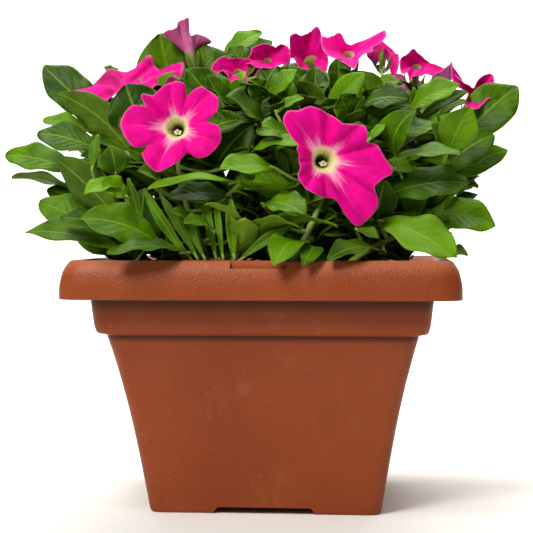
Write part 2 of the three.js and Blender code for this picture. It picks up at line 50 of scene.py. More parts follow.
MM = 0.001
RIM_HALF, _, HEIGHT = np.array(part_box("planter")[1]) / MM
BASE_HALF = 89.7
BODY_HALF = 118.4
BODY_TOP = 138.6
COLLAR_HALF = 126.3
RIM_SKIRT = 167.0
RIM_LIP_HALF = 141.5
RIM_BACK = 147.3  # half width of the hollow behind the rim's skirt
WALL = 2.5
FLOOR = 8.0
CORNER_RADIUS = 10.0
SOIL_LEVEL = 173.0
MIX_HALF = 123.0
MOUND_HEIGHT = 3.0
MOUND_RADIUS = 120.0
CRUMBS = 420
PLANT_TURN = math.radians(4.8)  # of the plant against the planter

TUBE_RADIUS = 2.2
PETAL_HALF = 0.22  # half the thickness of a petal
BLADE_THICKNESS = 0.55
LOBES = 5
GOLDEN_ANGLE = math.pi * (3 - math.sqrt(5))
UP = np.array([0.0, 0.0, 1.0])

random = np.random.default_rng(11)


def unit(vector):
    vector = np.asarray(vector, float)
    return vector / np.linalg.norm(vector)


def rotated(x, y, angle):
    c, s = math.cos(angle), math.sin(angle)
    return x * c - y * s, x * s + y * c


def in_planter(points):
    """Points in the plant's frame, turned into the planter's."""
    points = np.asarray(points, float)
    x, y = rotated(points[..., 0], points[..., 1], PLANT_TURN)
    return np.stack([x, y, points[..., 2]], -1)


def new_object(name, data):
    made = bpy.data.objects.new(name, data)
    bpy.context.scene.collection.objects.link(made)
    return made


# ------------------------------------------------------------------ node materials

class Nodes:
    """A short way to write a node material round one Principled shader."""

    def __init__(self, name, **inputs):
        self.material = bpy.data.materials.new(name)
        self.material.use_nodes = True
        self.tree = self.material.node_tree
        self.shader = self.tree.nodes["Principled BSDF"]
        for key, value in inputs.items():
            self.shader.inputs[key.replace("_", " ")].default_value = value

    def node(self, kind, settings=None, **inputs):
        node = self.tree.nodes.new(kind)
        for key, value in (settings or {}).items():
            setattr(node, key, value)
        for key, value in inputs.items():
            numbered = key[0] == "i" and key[1:].isdigit()
            self.feed(node.inputs[int(key[1:]) if numbered else key], value)
        return node

    def feed(self, socket, value):
        if isinstance(value, bpy.types.NodeSocket):
            self.tree.links.new(value, socket)
        elif isinstance(value, tuple) and len(value) == 3 and socket.type == "RGBA":
            socket.default_value = (*value, 1.0)
        else:
            socket.default_value = value

    def set(self, key, value):
        self.feed(self.shader.inputs[key], value)

    def place(self):
        return self.node("ShaderNodeTexCoord").outputs["Object"]

    def attribute(self, name, output="Fac"):
        return self.node("ShaderNodeAttribute", {"attribute_name": name}).outputs[output]

    def noise(self, scale, detail=3.0, roughness=0.55, vector=None):
        node = self.node("ShaderNodeTexNoise", Scale=scale, Detail=detail, Roughness=roughness,
                         Vector=vector or self.place())
        return node.outputs["Fac"]

    def math(self, operation, a, b=0.0):
        return self.node("ShaderNodeMath", {"operation": operation}, i0=a, i1=b).outputs[0]

    def times(self, a, b):
        return self.math("MULTIPLY", a, b)

    def span(self, value, low, high, to_low=0.0, to_high=1.0):
        """A smooth step from to_low, where the value is low, to to_high, where it is high."""
        node = self.node("ShaderNodeMapRange", {"clamp": True, "interpolation_type": "SMOOTHSTEP"}, i0=value)
        for index, bound in enumerate((low, high, to_low, to_high), start=1):
            node.inputs[index].default_value = bound
        return node.outputs[0]

    def mix(self, factor, a, b):
        return self.node("ShaderNodeMix", {"data_type": "RGBA"}, i0=factor, i6=a, i7=b).outputs[2]

    def bump(self, height, strength, distance, normal=None):
        node = self.node("ShaderNodeBump", Strength=strength, Distance=distance, Height=height)
        if normal:
            self.feed(node.inputs["Normal"], normal)
        return node.outputs["Normal"]


def plastic_material():
    m = Nodes("terracotta_plastic", Specular_IOR_Level=0.2)
    height = m.times(m.node("ShaderNodeSeparateXYZ", Vector=m.place()).outputs["Z"], 1 / MM)
    on_rim = m.span(height, RIM_SKIRT - 3, RIM_SKIRT + 1)
    cloud = m.noise(9.0, 4.0)
    colour = m.mix(m.span(cloud, 0.3, 0.7), (0.225, 0.041, 0.008), (0.262, 0.051, 0.0105))
    speckle = m.span(m.noise(420.0, 2.0), 0.66, 0.74)
    colour = m.mix(m.times(speckle, 0.35), colour, (0.42, 0.15, 0.08))
    dust = m.span(m.noise(38.0, 5.0, 0.7), 0.55, 0.8)
    colour = m.mix(m.times(dust, 0.16), colour, (0.42, 0.19, 0.11))
    # Painted shadow: the plastic is darkened in the two grooves, under the rim and under the collar, where
    # their overhangs shade it.
    grooves = []
    for top, depth, shade_fullest in ((RIM_SKIRT, 13, 1.5), (BODY_TOP + 0.9, 6, 1)):
        below = m.span(height, top - depth, top - shade_fullest)
        grooves.append(m.times(below, m.span(height, top, top - 0.5)))
    colour = m.mix(m.times(m.math("MAXIMUM", *grooves), 0.85), colour, (0.03, 0.006, 0.002))
    # Painted highlight: the rim's crest is lightened in patches, as where the light falls on its top.
    patchy_crest_light = m.span(m.noise(30.0, 3.0), 0.2, 0.7, 0.45, 0.75)
    crest = m.times(m.span(height, HEIGHT - 13.3, HEIGHT - 0.8), patchy_crest_light)
    colour = m.mix(crest, colour, (0.42, 0.115, 0.048))
    m.set("Base Color", colour)
    m.set("Roughness", m.span(m.noise(55.0, 4.0), 0.3, 0.75, 0.4, 0.54))
    cells = m.node("ShaderNodeTexVoronoi", {"feature": "SMOOTH_F1"}, Scale=620.0, Vector=m.place())
    pebble = m.times(cells.outputs["Distance"], m.math("ADD", m.times(on_rim, 0.75), 0.25))
    fine = m.bump(pebble, 0.5, 0.0006)
    m.set("Normal", m.bump(m.noise(14.0, 2.0), 0.12, 0.004, fine))
    return m.material


def mix_material():
    m = Nodes("potting_mix", Roughness=0.95)
    grain = m.noise(260.0, 6.0, 0.7)
    colour = m.mix(m.span(grain, 0.35, 0.65), (0.008, 0.005, 0.003), (0.055, 0.03, 0.016))
    chips = m.span(m.noise(95.0, 3.0), 0.6, 0.68)
    m.set("Base Color", m.mix(m.times(chips, 0.6), colour, (0.12, 0.07, 0.035)))
    m.set("Normal", m.bump(grain, 0.9, 0.0015))
    return m.material


def leaf_material(name, dark, light, vein, roughness, under=False):
    """blade holds the place across (-1 to 1) and along (0 to 1) the leaf."""
    m = Nodes(name, Specular_IOR_Level=0.13, Subsurface_Weight=0.1, Subsurface_Radius=(0.001, 0.002, 0.0002))
    tone = m.attribute("tone")
    blade = m.node("ShaderNodeSeparateXYZ", Vector=m.attribute("blade", "Vector"))
    from_rib, along = m.math("ABSOLUTE", blade.outputs["X"]), blade.outputs["Y"]
    mottled = m.math("ADD", tone, m.span(m.noise(60.0, 4.0), 0.3, 0.7, -0.14, 0.14))
    colour = m.mix(m.span(mottled, 0.0, 1.0), dark, light)
    # Side veins sweep forward from the midrib, and the blade quilts up between them.
    sweep = m.math("SUBTRACT", m.times(along, 7.5), m.times(from_rib, 2.3))
    comb = m.math("ABSOLUTE", m.math("SUBTRACT", m.math("FRACT", sweep), 0.5))
    side_vein = m.times(m.span(comb, 0.1, 0.0), m.span(from_rib, 0.92, 0.6))
    midrib = m.span(from_rib, 0.075, 0.025)
    pale = m.math("MAXIMUM", m.times(side_vein, 0.07), m.times(midrib, 0.5))
    # Painted highlight: the blade's margin is lightened towards the vein colour.
    edge = m.times(m.span(from_rib, 0.95, 1.0), 0.45)
    colour = m.mix(m.math("MAXIMUM", pale, edge), colour, vein)
    m.set("Base Color", colour)
    m.set("Roughness", m.span(m.noise(900.0, 2.0), 0.3, 0.7, roughness - 0.07, roughness + 0.1))
    quilt = m.times(m.span(comb, 0.0, 0.45), m.span(from_rib, 0.95, 0.5))
    grooves = m.bump(m.times(quilt, -1.0 if under else 1.0), 0.22, 0.0009)
    m.set("Normal", m.bump(m.noise(1500.0, 2.0), 0.35, 0.00025, grooves))
    return m.material


def stem_material():
    m = Nodes("stem", Roughness=0.55, Subsurface_Weight=0.1, Subsurface_Radius=(0.0012, 0.0016, 0.0005))
    tone = m.math("ADD", m.attribute("tone"), m.span(m.noise(70.0, 3.0), 0.3, 0.7, -0.2, 0.2))
    m.set("Base Color", m.mix(m.span(tone, 0.0, 1.0), (0.1, 0.19, 0.012), (0.3, 0.42, 0.07)))
    m.set("Normal", m.bump(m.noise(1300.0, 2.0), 0.5, 0.0003))
    return m.material


def petal_material(name, deep, bright, pale, inner, depth):
    """ray holds the cosine and sine round the flower and the place from tube foot to lip."""
    m = Nodes(name, Roughness=0.7, Specular_IOR_Level=0.1, Subsurface_Weight=0.12,
              Subsurface_Radius=(0.003, 0.0003, 0.0012))
    ray = m.node("ShaderNodeSeparateXYZ", Vector=m.attribute("ray", "Vector"))
    lift = ray.outputs["Z"]

    def streaks(around, along):
        """Noise drawn out from the throat towards the lip."""
        place = m.node("ShaderNodeCombineXYZ", X=m.times(ray.outputs["X"], around),
                       Y=m.times(ray.outputs["Y"], around), Z=m.times(lift, along))
        return m.noise(1.0, 3.0, 0.6, place.outputs[0])

    streak, vein = streaks(6.0, 1.6), streaks(22.0, 3.0)
    crease = m.attribute("crease")
    tone = m.attribute("tone")
    colour = m.mix(m.span(m.noise(90.0, 3.0), 0.3, 0.7), deep, bright)
    colour = m.mix(m.times(m.span(vein, 0.5, 0.3), 0.3), colour, deep)
    colour = m.mix(m.times(m.span(tone, 0.0, 1.0), 0.5), colour, bright)
    # Pale streaks leave the throat, longest along each lobe's middle.
    rays = m.math("ADD", m.times(streak, 0.36), m.times(vein, 0.2))
    reach = m.math("SUBTRACT", rays, m.times(crease, 0.16))
    washed = m.span(m.math("SUBTRACT", lift, reach), 0.4, 0.14)
    colour = m.mix(m.times(washed, 0.75), colour, pale)
    rib = m.times(m.span(crease, 0.05, 0.0), m.span(lift, 0.95, 0.45))
    colour = m.mix(m.times(rib, 0.22), colour, pale)
    # Painted shade: the petal is darkened along each crease between the lobes, where one lobe shades the
    # next.
    cut = m.times(m.span(crease, 0.8, 1.0), m.span(lift, 0.55, 0.8))
    colour = m.mix(m.times(cut, 0.45), colour, tuple(0.45 * value for value in deep))
    # Painted highlight: the very edge of the lip is paled.
    colour = m.mix(m.times(m.span(lift, 0.97, 1.0), 0.18), colour, pale)
    colour = m.mix(m.span(lift, 0.5, 0.4), colour, inner)
    dark_vein = m.times(m.span(vein, 0.52, 0.4), m.span(lift, 0.46, 0.38))
    colour = m.mix(m.times(dark_vein, 0.75), colour, depth)
    colour = m.mix(m.span(lift, 0.36, 0.2), colour, depth)
    m.set("Base Color", colour)
    folds = m.bump(vein, 0.5, 0.0009)
    m.set("Normal", m.bump(m.noise(240.0, 3.0), 0.18, 0.0008, folds))
    return m.material


def plain_material(name, low, high, roughness, scale=400.0):
    m = Nodes(name, Roughness=roughness)
    m.set("Base Color", m.mix(m.span(m.noise(scale), 0.3, 0.7), low, high))
    m.set("Normal", m.bump(m.noise(scale * 3), 0.4, 0.0003))
    return m.material


PLASTIC = plastic_material()
MIX = mix_material()
LEAF_TOP = leaf_material("leaf_upper", (0.016, 0.052, 0.0), (0.125, 0.29, 0.0), (0.2, 0.36, 0.02), 0.42)
LEAF_UNDER = leaf_material("leaf_under", (0.04, 0.085, 0.002), (0.15, 0.27, 0.012), (0.2, 0.31, 0.04), 0.6,
                           under=True)
STEM = stem_material()
PETAL_FACE = petal_material("petal_face", (0.4, 0.0, 0.14), (0.84, 0.0, 0.29), (0.9, 0.5, 0.7),
                            (0.78, 0.72, 0.36), (0.34, 0.33, 0.09))
PETAL_BACK = petal_material("petal_back", (0.46, 0.05, 0.24), (0.66, 0.17, 0.4), (0.68, 0.38, 0.5),
                            (0.4, 0.32, 0.2), (0.2, 0.2, 0.07))
ANTHER = plain_material("anther", (0.62, 0.58, 0.42), (0.85, 0.83, 0.7), 0.7, 900.0)
STIGMA = plain_material("stigma", (0.28, 0.4, 0.1), (0.42, 0.52, 0.2), 0.4, 900.0)


# ------------------------------------------------------------------ meshes

def grid_quads(rows, columns, wrap=False):
    i = np.arange(rows - 1)[:, None]
    j = np.arange(columns if wrap else columns - 1)[None, :]
    following = (j + 1) % columns
    quads = [i * columns + j, i * columns + following, (i + 1) * columns + following, (i + 1) * columns + j]
    return np.stack([np.broadcast_to(q, (rows - 1, j.shape[1])) for q in quads], -1).reshape(-1, 4)


def grid_normals(grid, wrap=False):
    if wrap:
        around = np.roll(grid, -1, 1) - np.roll(grid, 1, 1)
    else:
        around = np.gradient(grid, axis=1)
    normals = np.cross(around, np.gradient(grid, axis=0))
    return normals / np.maximum(np.linalg.norm(normals, axis=-1, keepdims=True), 1e-9)


class Piece:
    """Closed skins gathered into one mesh object, with the values that its materials read."""

    def __init__(self, name, materials, slot):
        self.name, self.materials, self.slot = name, materials, slot
        self.points, self.faces, self.indices, self.values = [], [], [], []
        self.count = 0

    def add(self, points, faces, index=0, **values):
        points = np.asarray(points, float).reshape(-1, 3)
        self.points.append(points)
        self.faces.append(np.asarray(faces) + self.count)
        self.indices.append(np.broadcast_to(index, len(faces)))
        shapes = {key: (len(points), *np.shape(value)[1:]) for key, value in values.items()}
        self.values.append({key: np.broadcast_to(value, shapes[key]) for key, value in values.items()})
        self.count += len(points)

    def sheet(self, upper, thickness, indices=(0, 1), down=False, **values):
        """An open grid thickened below its upper side, or straight down."""
        rows, columns = upper.shape[:2]
        lower = upper - (UP if down else grid_normals(upper)) * thickness[..., None]
        top = grid_quads(rows, columns)
        count = rows * columns
        border = np.concatenate([
            np.arange(columns), np.arange(1, rows) * columns + columns - 1,
            np.arange(columns - 2, -1, -1) + (rows - 1) * columns, np.arange(rows - 2, 0, -1) * columns])
        after = np.roll(border, -1)
        rim = np.stack([after, border, border + count, after + count], -1)
        faces = np.concatenate([top, top[:, ::-1] + count, rim])
        slots = np.concatenate([np.full(len(top), indices[0]), np.full(len(top), indices[1]),
                                np.full(len(rim), indices[1])])
        doubled = {key: np.concatenate([np.asarray(v).reshape(count, -1)] * 2).squeeze() if np.ndim(v) else v
                   for key, v in values.items()}
        self.add(np.concatenate([upper.reshape(-1, 3), lower.reshape(-1, 3)]), faces, slots, **doubled)

    def tube(self, path, radii, sides, index, **values):
        """A round bar along points, closed at both ends."""
        path = np.asarray(path, float)
        radii = np.broadcast_to(radii, len(path))
        tangents = np.gradient(path, axis=0)
        tangents /= np.linalg.norm(tangents, axis=1, keepdims=True)
        normal = unit(np.cross(tangents[0], UP if abs(tangents[0][2]) < 0.9 else (1.0, 0.0, 0.0)))
        angles = (np.arange(sides) / sides * 2 * math.pi)[:, None]
        rings = []
        for point, tangent, radius in zip(path, tangents, radii):
            normal = unit(normal - tangent * normal.dot(tangent))
            around = np.cos(angles) * normal + np.sin(angles) * np.cross(tangent, normal)
            rings.append(point + radius * around)
        points = np.concatenate([*rings, path[:1] - tangents[:1] * radii[0] * 0.5,
                                 path[-1:] + tangents[-1:] * radii[-1] * 0.5])
        body = grid_quads(len(path), sides, wrap=True)
        last = (len(path) - 1) * sides
        ends = [(j, (j + 1) % sides) for j in range(sides)]
        caps = [(b, a, len(points) - 2, b) for a, b in ends]
        caps += [(last + a, last + b, len(points) - 1, last + a) for a, b in ends]
        self.add(points, np.concatenate([body, np.array(caps)]), index, **values)

    def lump(self, centre, radii, axes, index=0, rows=6, columns=8):
        """A small ellipsoid."""
        tilt = np.linspace(-math.pi / 2, math.pi / 2, rows)[:, None]
        turn = (np.arange(columns) / columns * 2 * math.pi)[None, :]
        unit_points = np.stack([np.cos(tilt) * np.cos(turn), np.cos(tilt) * np.sin(turn),
                                np.sin(tilt) * np.ones_like(turn)], -1)
        points = (unit_points * np.asarray(radii)) @ np.asarray(axes) + np.asarray(centre)
        self.add(points, grid_quads(rows, columns, wrap=True), index)

    def build(self, *replaced, place=in_planter, drape=None):
        """Make the object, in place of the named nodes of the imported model."""
        points = np.concatenate(self.points)
        if place:
            points = place(points)
        if drape:
            points = drape(points)
        faces = [tuple(dict.fromkeys(face)) for face in np.concatenate(self.faces).tolist()]
        mesh = bpy.data.meshes.new(self.name)
        mesh.from_pydata((points * MM).tolist(), [], faces)
        mesh.polygons.foreach_set("material_index", np.concatenate(self.indices).astype(np.int32))
        for key in self.values[0]:
            data = np.concatenate([values[key] for values in self.values]).astype(np.float32)
            kind = "FLOAT_VECTOR" if data.ndim > 1 else "FLOAT"
            layer = mesh.attributes.new(key, kind, "POINT")
            layer.data.foreach_set("vector" if data.ndim > 1 else "value", data.ravel())
        return finish_piece(self.name, mesh, self.materials, replaced)


def finish_piece(name, mesh, materials, replaced):
    for material in materials:
        mesh.materials.append(material)
    mesh.validate()
    mesh.shade_smooth()
    piece = new_object(name, mesh)
    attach(piece, "root")
    if replaced:
        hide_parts(*replaced)
    return piece


def between_points(a, b, c, d, t):
    """Points from b to c on the Catmull-Rom curve through all four."""
    bend = 2 * a - 5 * b + 4 * c - d
    turn = 3 * b - a - 3 * c + d
    return 0.5 * (2 * b + (c - a) * t + bend * t**2 + turn * t**3)


def smooth_path(points, count):
    """A smooth curve through the given points, evenly many to a stretch."""
    points = np.asarray(points, float)
    ends = np.concatenate([[2 * points[0] - points[1]], points, [2 * points[-1] - points[-2]]])
    place = np.linspace(0, len(points) - 1, count)
    cell = np.minimum(place.astype(int), len(points) - 2)
    t = (place - cell)[:, None]
    return between_points(*(ends[cell + k] for k in range(4)), t)


# ------------------------------------------------------------------ planter

def body_half(z):
    t = z / BODY_TOP
    return BASE_HALF + (BODY_HALF - BASE_HALF) * (0.78 * t + 0.22 * t**3)


def square_ring(half, z, radius, corner_steps=8, side_steps=14):
    """A rounded square of points, a quarter at a time."""
    radius = min(radius, half * 0.9)
    arc = np.arange(corner_steps + 1) / corner_steps * math.pi / 2
    run = np.linspace(half - radius, radius - half, side_steps + 1)[1:-1]
    x = np.concatenate([half - radius + radius * np.cos(arc), run])
    y = np.concatenate([half - radius + radius * np.sin(arc), np.full_like(run, half)])
    quarters = [np.stack(rotated(x, y, corner * math.pi / 2), -1) for corner in range(4)]
    return np.array([(x, y, z) for x, y in np.concatenate(quarters)])


def rounded_profile(corners, steps=4):
    """The corners (half width, height, radius) joined by straight runs with rounded turns."""
    profile = [corners[0][:2]]
    for before, corner, after in zip(corners, corners[1:], corners[2:]):
        here = np.array(corner[:2])
        back, ahead = np.array(before[:2]) - here, np.array(after[:2]) - here
        reach = min(corner[2], np.linalg.norm(back) * 0.45, np.linalg.norm(ahead) * 0.45)
        start, end = here + unit(back) * reach, here + unit(ahead) * reach
        for t in np.linspace(0, 1, steps + 1):
            profile.append(tuple((1 - t) ** 2 * start + 2 * t * (1 - t) * here + t**2 * end))
    profile.append(corners[-1][:2])
    return profile


def prism(name, near, far):
    """A closed solid between two outlines, to cut with."""
    count = len(near)
    sides = [(i, (i + 1) % count, (i + 1) % count + count, i + count) for i in range(count)]
    ends = [tuple(reversed(range(count))), tuple(range(count, 2 * count))]
    mesh = bpy.data.meshes.new(name)
    mesh.from_pydata([tuple(v * MM for v in point) for point in (*near, *far)], [], sides + ends)
    return new_object(name, mesh)


def side_cutter(name, corners, depths, turn):
    """A prism with the outline given (x, z), from one distance out of the middle to another."""
    return prism(name, *([(*rotated(x, -depth, turn), z) for x, z in corners] for depth in depths))


def build_planter():
    profile = [(1.0, 0.0, 0), (BASE_HALF - 0.6, 0.0, 1.2)]
    profile += [(body_half(z), z, 1.0) for z in np.linspace(2.0, BODY_TOP - 1, 12)]
    profile += [
        (BODY_HALF + 0.4, BODY_TOP + 1.6, 1.6), (COLLAR_HALF - 1.2, BODY_TOP + 1.6, 2.6),
        (COLLAR_HALF + 0.8, BODY_TOP + 8, 3), (COLLAR_HALF + 3.2, RIM_SKIRT, 2),
        (COLLAR_HALF + 4.2, HEIGHT - 11, 3), (138.0, HEIGHT - 5.0, 3), (144.0, HEIGHT - 8.5, 3),
        (RIM_BACK, HEIGHT - 20, 3), (RIM_BACK + 0.3, RIM_SKIRT, 1), (RIM_HALF, RIM_SKIRT, 1.2),
        (RIM_HALF, RIM_SKIRT + 11, 7), (RIM_BACK, HEIGHT - 7, 5), (RIM_LIP_HALF + 1, HEIGHT, 5.5),
        (138.2, HEIGHT, 2.6), (COLLAR_HALF + 1.7, HEIGHT - 9, 3), (127.0, RIM_SKIRT + 3, 3),
        (COLLAR_HALF - WALL, BODY_TOP + 3, 2), (BODY_HALF - WALL, BODY_TOP - 1, 2),
        (body_half(FLOOR) - WALL, FLOOR, 2), (1.0, FLOOR, 0)]
    rings = np.array([square_ring(half, z, CORNER_RADIUS + max(0, half - BODY_HALF) * 0.2)
                      for half, z in rounded_profile(profile)])
    rows, columns = rings.shape[:2]
    mesh = bpy.data.meshes.new("planter_shell")
    caps = [tuple(range(columns - 1, -1, -1)), tuple(range((rows - 1) * columns, rows * columns))]
    walls = grid_quads(rows, columns, wrap=True).tolist()
    mesh.from_pydata((rings.reshape(-1, 3) * MM).tolist(), [], walls + caps)
    shell = finish_piece("planter_shell", mesh, [PLASTIC], ["planter"])
    arch = [(-41, -1), (41, -1), (36.6, 4.2), (35.2, 5), (-35.2, 5), (-36.6, 4.2)]
    slot = [(x, HEIGHT + z) for x, z in ((-20.4, -6), (20.4, -6), (20.4, 5), (-20.4, 5))]
    drain = [(73 + 5 * math.cos(a), 5 * math.sin(a)) for a in np.arange(20) / 20 * 2 * math.pi]
    cutters = []
    for side in range(4):
        turn = side * math.pi / 2
        cutters.append(side_cutter("arch", arch, (BASE_HALF - 32, BASE_HALF + 10), turn))
        ends = [[(*rotated(x, y, turn), z) for x, y in drain] for z in (-2, FLOOR + 4)]
        cutters.append(prism("drain", *ends))
    for turn in (0.0, math.pi):
        cutters.append(side_cutter("slot", slot, (141.2, 153), turn))
    for tool in cutters:
        modifier = shell.modifiers.new("cut", "BOOLEAN")
        modifier.object = tool
        modifier.solver = "EXACT"
    made = bpy.data.meshes.new_from_object(shell.evaluated_get(bpy.context.evaluated_depsgraph_get()))
    shell.modifiers.clear()
    shell.data = made
    for tool in cutters:
        bpy.data.objects.remove(tool)
    made.set_sharp_from_angle(angle=math.radians(38))


# ------------------------------------------------------------------ potting mix

def lumpy(x, y, scale, seed):
    """Smooth repeatable unevenness between about -1 and 1."""
    total = np.zeros_like(x)
    source = np.random.default_rng(seed)
    for octave in range(5):
        for _ in range(4):
            angle, phase = source.uniform(0, 2 * math.pi, 2)
            pitch = scale * 1.9**octave * source.uniform(0.8, 1.25)
            total += np.sin((x * math.cos(angle) + y * math.sin(angle)) * pitch + phase) * 0.5 / 1.6**octave
    return total / 2.2


def mound(x, y):
    return MOUND_HEIGHT * np.clip(1 - np.hypot(x, y) / MOUND_RADIUS, 0, 1)


def build_mix():
    run = np.linspace(-MIX_HALF, MIX_HALF, 150)
    x, y = np.meshgrid(run, run, indexing="xy")
    z = SOIL_LEVEL - 1 + mound(x, y) + 1.8 * lumpy(x, y, 0.09, 3) + random.normal(0, 0.35, x.shape)
    bed = Piece("mix_bed", [MIX], "potting_mix")
    bed.sheet(np.stack([x, y, z], -1), np.full(x.shape, 25.0), (0, 0), down=True)
    bed.build("potting_mix", place=None)
    crumbs = Piece("mix_crumbs", [MIX], "potting_mix")
    for _ in range(CRUMBS):
        x, y = random.uniform(1 - MIX_HALF, MIX_HALF - 1, 2)
        size = random.uniform(1.0, 3.4)
        axes = np.linalg.qr(random.normal(size=(3, 3)))[0]
        height = SOIL_LEVEL + mound(x, y) + size * 0.3
        crumbs.lump((x, y, height), (size, size * 0.75, size * 0.5), axes, rows=5, columns=6)
    crumbs.build(place=None)


# ------------------------------------------------------------------ flowers
# throat: middle of the throat; facing: the way that it faces; tube: its length; rise: how far the
# lip stands before the throat; lobes: angle from the right seen from the front, reach, and how far
# the lobe bends forward; outline: reach at each angle; rim: points that the crumpled lip goes through.

